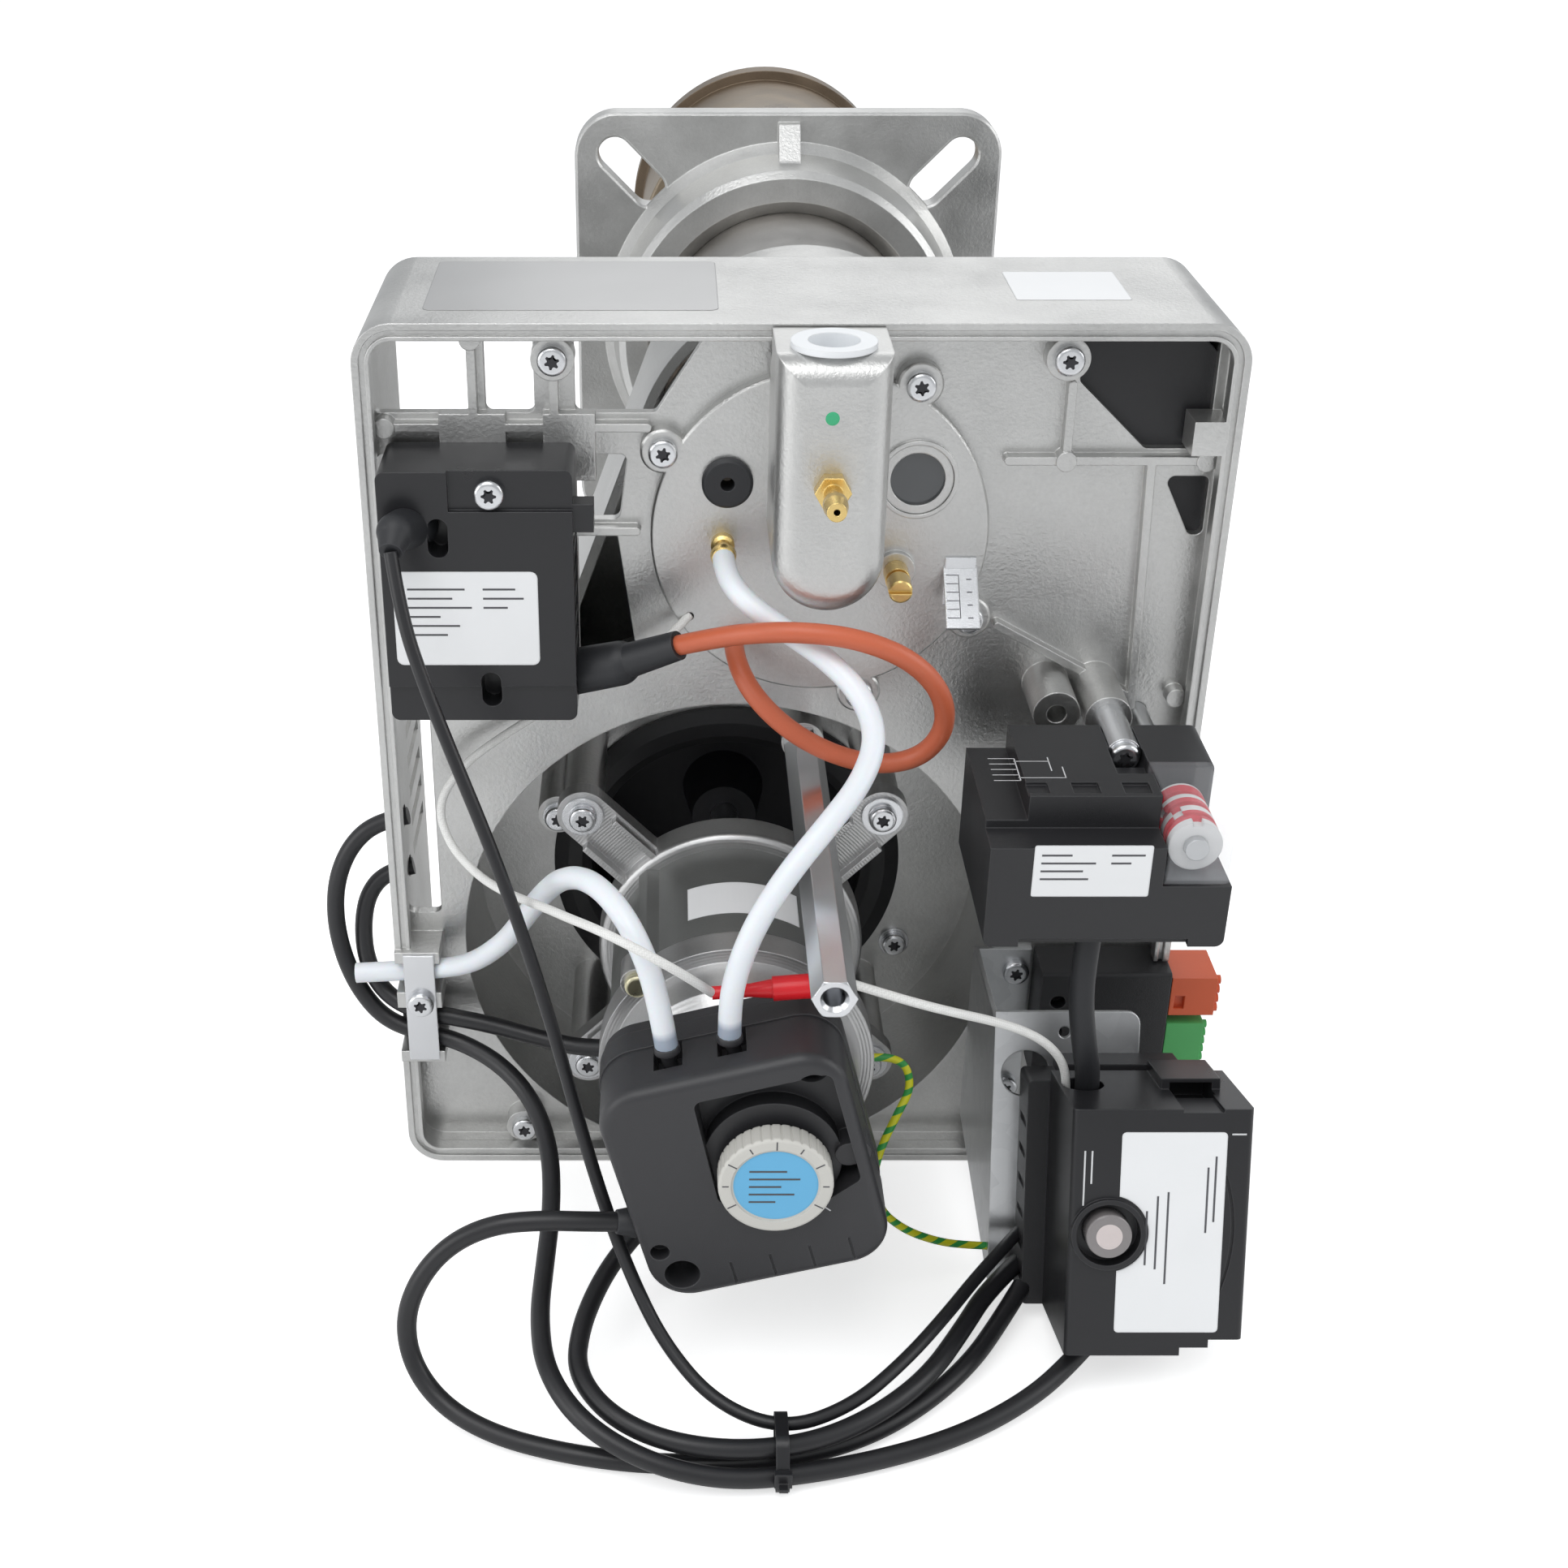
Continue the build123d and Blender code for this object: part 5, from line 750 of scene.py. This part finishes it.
def add_disc(place, radius, vertices, border, rise):
    """Disc facing the service side, raised by rise inside a border. Sizes are in millimetres."""
    bpy.ops.object.select_all(action="DESELECT")
    bpy.ops.mesh.primitive_circle_add(vertices=vertices, radius=radius * MM, fill_type="NGON",
                                      location=place, rotation=FACE_FRONT)
    disc = bpy.context.object
    bpy.ops.object.mode_set(mode="EDIT")
    bpy.ops.mesh.inset(thickness=border * MM)
    bpy.ops.transform.translate(value=(0, -rise * MM, 0))
    bpy.ops.object.mode_set(mode="OBJECT")
    return disc


def ruled_rows(left, top, width, pitch, shares):
    """Rows of bars under each other; each share is how much of the width the row fills."""
    return [(left + width * share / 2, top - pitch * k, width * share, 0.7) for k, share in enumerate(shares)]


# %% Labels on the body's top
BODY_TOP = 350
add_label("top_label", at(95.5, 48, BODY_TOP + GLUE), 40, 38, FACE_UP, paper, 1.0)
add_label("type_plate", at(-78, 49, BODY_TOP + GLUE), 101, 66, FACE_UP, plate_film,
          3.0)

# %% Transformer label, with ruled rows
TRANSFORMER_FRONT = -22
add_label("transformer_label", at(-114.5, TRANSFORMER_FRONT - GLUE, 253), 50, 35, FACE_FRONT,
          paper, 2.5)
rows = ruled_rows(-20, 11, 22, 3.4, (0.9, 0.7, 1.0, 0.5, 0.8, 0.6))
rows += ruled_rows(6, 11, 14, 3.4, (0.8, 1.0, 0.6))
add_bars("transformer_print", at(-114.5, TRANSFORMER_FRONT - PRINT_OUT, 253), FACE_FRONT, rows,
         ink)

# %% Servomotor label and the line drawing on its top
SERVO_FRONT = -95
SERVO_TOP = 215
add_label("servo_label", at(95, SERVO_FRONT - GLUE, 194.5), 39, 19.5, FACE_FRONT, paper,
          0.8)
rows = ruled_rows(-17, 6, 20, 3.0, (0.5, 0.9, 0.7, 0.8)) + ruled_rows(6, 6, 11, 3.0, (1.0, 0.6))
add_bars("servo_print", at(95, SERVO_FRONT - PRINT_OUT, 194.5), FACE_FRONT, rows, ink)
drawing = [(-12, 8 - 4 * k, 9, 0.4) for k in range(5)]
drawing += [(-7.5, 0, 0.4, 16), (4, 4, 0.4, 10), (-2, 6, 12, 0.4), (0, -6, 16, 0.4), (8, -2, 0.4, 8)]
add_bars("servo_drawing", at(81, -62, SERVO_TOP + PRINT_T), FACE_UP, drawing, pale_ink)

# %% [markdown]
# The control unit leans back 18 degrees, so its label is made flat in the unit's own axes and
# turned with it. A round bite in the label leaves room for the ring of the reset button.

# %% Control unit label
CONTROL = Matrix.Translation(at(95, -137, 21)) @ Matrix.Rotation(radians(-18), 4, "X")
UPRIGHT = Matrix.Rotation(pi / 2, 4, "X")
RESET_X, RESET_Z = 13.5, 45.6
RESET_RING_R = 14.2


def add_control_label():
    """Label outline drawn as a mesh face, with the bite taken by a Boolean."""
    bpy.ops.object.select_all(action="DESELECT")
    bpy.ops.mesh.primitive_plane_add(size=1, rotation=FACE_FRONT)
    label = bpy.context.object
    label.scale = (36.5 * MM, 74 * MM, 1)
    label.location = (35.3 * MM, -GLUE * MM, 45.8 * MM)
    bpy.ops.object.transform_apply(location=True, rotation=True, scale=True)
    bpy.ops.object.mode_set(mode="EDIT")
    bpy.ops.mesh.select_all(action="SELECT")
    bpy.ops.mesh.bevel(offset=1.5 * MM, segments=3, affect="VERTICES")
    bpy.ops.object.mode_set(mode="OBJECT")
    thicken(label, LABEL_T)
    bpy.ops.object.select_all(action="DESELECT")
    bpy.ops.mesh.primitive_cylinder_add(vertices=64, radius=RESET_RING_R * MM, depth=0.01,
                                        location=(RESET_X * MM, 0, RESET_Z * MM),
                                        rotation=FACE_FRONT)
    cutter = bpy.context.object
    alone(label)
    bite = label.modifiers.new("bite", "BOOLEAN")
    bite.operation = "DIFFERENCE"
    bite.object = cutter
    bpy.ops.object.modifier_apply(modifier="bite")
    bpy.data.objects.remove(cutter)
    label.matrix_world = CONTROL
    return settle(label, "control_label", paper, "burner")


add_control_label()
rows = [(34 - 3.6 * k, 44 + (2 if k % 2 else 0), 0.7, 34 - 7 * (k % 3)) for k in range(3)]
rows += [(50 - 2.6 * k, 62 - 4 * k, 0.7, 24) for k in range(2)]


def add_control_print():
    """Ruled columns of the control unit's label."""
    bars = add_bars("control_print", Vector((0, -PRINT_OUT * MM, 0)), FACE_FRONT, rows, ink)
    bars.data.transform(CONTROL)
    return bars


add_control_print()

# %% [markdown]
# The reset button is a smoky lens in a black ring, with a pale lamp just under its face.

# %% Lamp spot under the reset lens
spot = add_disc((0, 0, 0), 4.6, 40, 0.8, 0.12)
spot_place = Matrix.Translation((RESET_X * MM, -3.03 * MM, RESET_Z * MM))
spot.matrix_world = CONTROL @ spot_place @ UPRIGHT
lamp_spot = finish("lamp_spot", (0.62, 0.55, 0.54), 0.3, grain=900, depth=0.02, edge=0.0, Coat_Weight=0.6)
settle(spot, "reset_lamp", lamp_spot, "reset")

# %% [markdown]
# ## Pressure switch dial
# The setting dial is a pale ring with a blue disc inside it. Strokes of two lengths on the ring
# are its scale.

# %% Dial face
DIAL_X, DIAL_Z = -8.655, 97.05
DIAL = at(DIAL_X, -137.12, DIAL_Z)
face = add_disc(DIAL, 14.3, 64, 0.5, 0.15)
settle(face, "dial_face", dial_blue, "dial")

# %% Dial scale and print


def add_spokes(name, centre, spokes, paint, body):
    """Short radial strokes round a centre, each (degrees, radius, length), facing the service side."""
    first = True
    bpy.ops.object.select_all(action="DESELECT")
    for angle, radius, length in spokes:
        bpy.ops.mesh.primitive_plane_add(size=1)
        if first:
            marks = bpy.context.object
            bpy.ops.object.mode_set(mode="EDIT")
            first = False
        bpy.ops.transform.resize(value=(length * MM, 0.45 * MM, 1))
        bpy.ops.transform.translate(value=(radius * MM, 0, 0))
        bpy.ops.transform.rotate(value=-radians(angle), orient_axis="Z", center_override=(0, 0, 0))
    bpy.ops.object.mode_set(mode="OBJECT")
    thicken(marks, 0.06)
    marks.matrix_world = Matrix.Translation(centre) @ UPRIGHT
    return settle(marks, name, paint, body)


strokes = [(k * 30 - 30, 16.9, 2.2 if k % 2 else 3.4) for k in range(9)]
add_spokes("dial_scale", at(DIAL_X, -137.72, DIAL_Z), strokes, ink, "dial")
rows = ruled_rows(-9, 6, 18, 3.2, (0.7, 0.95, 0.6, 0.85, 0.5))
add_bars("dial_print", DIAL + Vector((0, -0.2 * MM, 0)), FACE_FRONT, rows, ink,
         "dial")

# %% [markdown]
# ## Motor label
# The label is wrapped on the stator, so it is a flat strip cut into columns and then laid on
# the round by moving each point to its angle.

# %% Motor label


def add_motor_label():
    """Label that follows the round of the stator."""
    radius = 46.62
    first_angle, wrap = 112, 52
    bpy.ops.object.select_all(action="DESELECT")
    bpy.ops.mesh.primitive_grid_add(x_subdivisions=20, y_subdivisions=1, size=1)
    label = bpy.context.object
    for point in label.data.vertices:
        angle = radians(first_angle - wrap * (point.co.x + 0.5))
        along = -29 + 22 * point.co.y
        point.co = at(FAN_X + radius * cos(angle), along, FAN_Z + radius * sin(angle))
    thicken(label, LABEL_T)
    return settle(label, "motor_label", paper, "burner")


add_motor_label()

# %% Green paint dot on the gas block
GAS_BLOCK_FRONT = -38
dot = add_disc(at(8.2, GAS_BLOCK_FRONT - GLUE, 329.7), 2.3, 24, 0.6, 0.12)
settle(dot, "paint_dot", green_paint, "burner")

# % Bright rim round the dark sight glass
DISK_Y = 8.0
SIGHT_X, SIGHT_Z = 42.5, 293
bpy.ops.object.select_all(action="DESELECT")
bpy.ops.mesh.primitive_circle_add(vertices=64, radius=12.6 * MM, fill_type="NGON",
                                  location=at(SIGHT_X, DISK_Y + 0.95, SIGHT_Z),
                                  rotation=FACE_FRONT)
rim = bpy.context.object
bpy.ops.object.mode_set(mode="EDIT")
bpy.ops.mesh.inset(thickness=3.0 * MM)
bpy.ops.mesh.delete(type="FACE")
bpy.ops.object.mode_set(mode="OBJECT")
thicken(rim, 1.6)
settle(rim, "sight_rim", cast_fine, "burner")

# %% [markdown]
# ## Screw drives
# Screws with a plain head look unfinished, so each head gets the dark star of its drive: painted shade where
# the recess is. A star is a thin plate made from a circle whose points alternate in radius.

# %% Star drives


def add_star(name, place, radius, turn):
    """Painted shade of a six-lobed recess, as a thin dark piece on a screw head."""
    bpy.ops.object.select_all(action="DESELECT")
    bpy.ops.mesh.primitive_circle_add(vertices=24, radius=radius * MM, fill_type="NGON")
    star = bpy.context.object
    for index, point in enumerate(star.data.vertices):
        point.co *= 1.0 if index % 4 in (0, 1) else 0.66
    bpy.ops.object.mode_set(mode="EDIT")
    bpy.ops.mesh.select_all(action="SELECT")
    bpy.ops.mesh.inset(thickness=0.18 * radius * MM)
    bpy.ops.object.mode_set(mode="OBJECT")
    thicken(star, 0.05)
    star.matrix_world = Matrix.Translation(place) @ UPRIGHT @ Matrix.Rotation(turn, 4, "Z")
    return settle(star, name, drive_dark, "burner")


# painted shade: dark finish for the recesses of the screw drives
drive_dark = finish("drive_shadow", (0.05, 0.05, 0.055), 0.5, 0.6, grain=1200, depth=0.1, edge=0.0)
STAR_R = 2.6
STAR_TURN = 0.7  # each next drive stands at another angle, as screws do
# the middle of each head's face
HEADS = [
    (41.7, 4.35, 326.4), (-46.5, 4.35, 302.8), (25.4, 4.35, 210.7), (64.0, 4.35, 240.3), (-84.0, 2.35, 336.0),
    (91.0, 2.35, 336.0), (-104.0, 2.35, 13.0), (-77.5, 8.85, 40.5), (-77.5, 8.85, 155.5), (37.5, 8.85, 40.5),
    (37.5, 8.85, 155.5), (53.0, 73.85, 58.0), (-88.0, 26.85, 146.0), (113.0, -48.65, 212.0),
    (-105.0, -23.65, 298.0), (-142.0, -7.95, 81.5), (3.3, -116.35, 132.5), (-39.8, -116.35, 53.6),
    (94.0, 8.35, 30.0), (94.0, 8.35, 86.0),
]
for number, (x, y, z) in enumerate(HEADS):
    add_star(f"screw_star_{number + 1:02d}", at(x, y - GLUE, z), STAR_R, STAR_TURN * number)
print("screw heads:", len(HEADS))

# %% [markdown]
# ## Scale plate
# The little zinc plate by the head screw shows how far the combustion head is moved. Its marks
# are thin dark strokes on a line, with short bars where the figures would be.

# %% Scale marks
SCALE = Matrix.Translation(at(59.5, 8, 260)) @ Matrix.Rotation(radians(-50), 4, "X")
marks = [(-3.2, -3.5 - 3.4 * k, 4.2, 0.3) for k in range(6)] + [(-0.8, -12, 0.3, 17.4)]
marks += [(2.8, -5.2 - 5.1 * k, 1.8, 0.4) for k in range(4)]
scale_marks = add_bars("scale_marks", Vector((0, -0.62 * MM, 0)), FACE_FRONT, marks, ink)
scale_marks.data.transform(SCALE)

# %% [markdown]
# ## Small plastic details
# The control unit's black margin carries two short pale bars, and the pressure switch has a
# pale stroke that shows the pressure the ring is set to.

# %% Pale bars on black plastic
margin = add_bars("control_margin", Vector((0, -0.05 * MM, 0)), FACE_FRONT,
                  [(4.5, 66, 0.6, 20), (7.0, 70, 0.6, 12), (57.5, 82, 5, 0.6)], pale_ink)
margin.data.transform(CONTROL)
pointer_place = at(DIAL_X, -131.75, DIAL_Z)
add_spokes("pressure_pointer", pointer_place, [(-38, 22.5, 4.0)], pale_ink, "burner")

# %% [markdown]
# ## Rubber collars
# Two of the black cables, and the hoses at the switch and the tap, end in short tapered
# collars. A collar is a cone whose edges are rounded with a bevel.

# %% Collars


def add_collar(name, place, direction, base_r, tip_r, length, paint):
    """Tapered ring round a cord, from place along direction."""
    bpy.ops.object.select_all(action="DESELECT")
    bpy.ops.mesh.primitive_cone_add(vertices=40, radius1=base_r * MM, radius2=tip_r * MM, depth=length * MM)
    collar = bpy.context.object
    collar.data.transform(Matrix.Translation((0, 0, length * MM / 2)))
    bpy.ops.object.mode_set(mode="EDIT")
    bpy.ops.mesh.select_all(action="SELECT")
    bpy.ops.mesh.bevel(offset=0.25 * MM, segments=2, affect="EDGES")
    bpy.ops.object.mode_set(mode="OBJECT")
    bpy.ops.object.shade_smooth_by_angle(angle=radians(35))
    turn = Vector(direction).to_track_quat("Z", "Y").to_matrix().to_4x4()
    collar.matrix_world = Matrix.Translation(place) @ turn
    return settle(collar, name, paint, "burner")


def collar_at(name, node, end, base_r, tip_r, length, paint):
    """Collar at the first (end 0) or last (end -1) point of a route."""
    points = CORD_POINTS[node]
    start, after = (points[0], points[1]) if end == 0 else (points[-1], points[-2])
    start, after = at(*start), at(*after)
    return add_collar(name, start, after - start, base_r, tip_r, length, paint)


collar_at("switch_cable_collar", "switch_cable", 0, 5.6, 4.2, 7, black_rubber)
collar_at("servo_cable_collar", "servo_cable", 0, 6.6, 5.2, 5, black_rubber)
collar_at("stem_clip_left", "vent_hose", 0, 4.6, 4.25, 2.5, switch_black)
collar_at("stem_clip_right", "air_hose", -1, 4.6, 4.25, 2.5, switch_black)
collar_at("air_tap_collar", "air_hose", 0, 4.7, 4.2, 3, brass)

# %% [markdown]
# ## Finished

# %% End
bpy.ops.object.select_all(action="DESELECT")
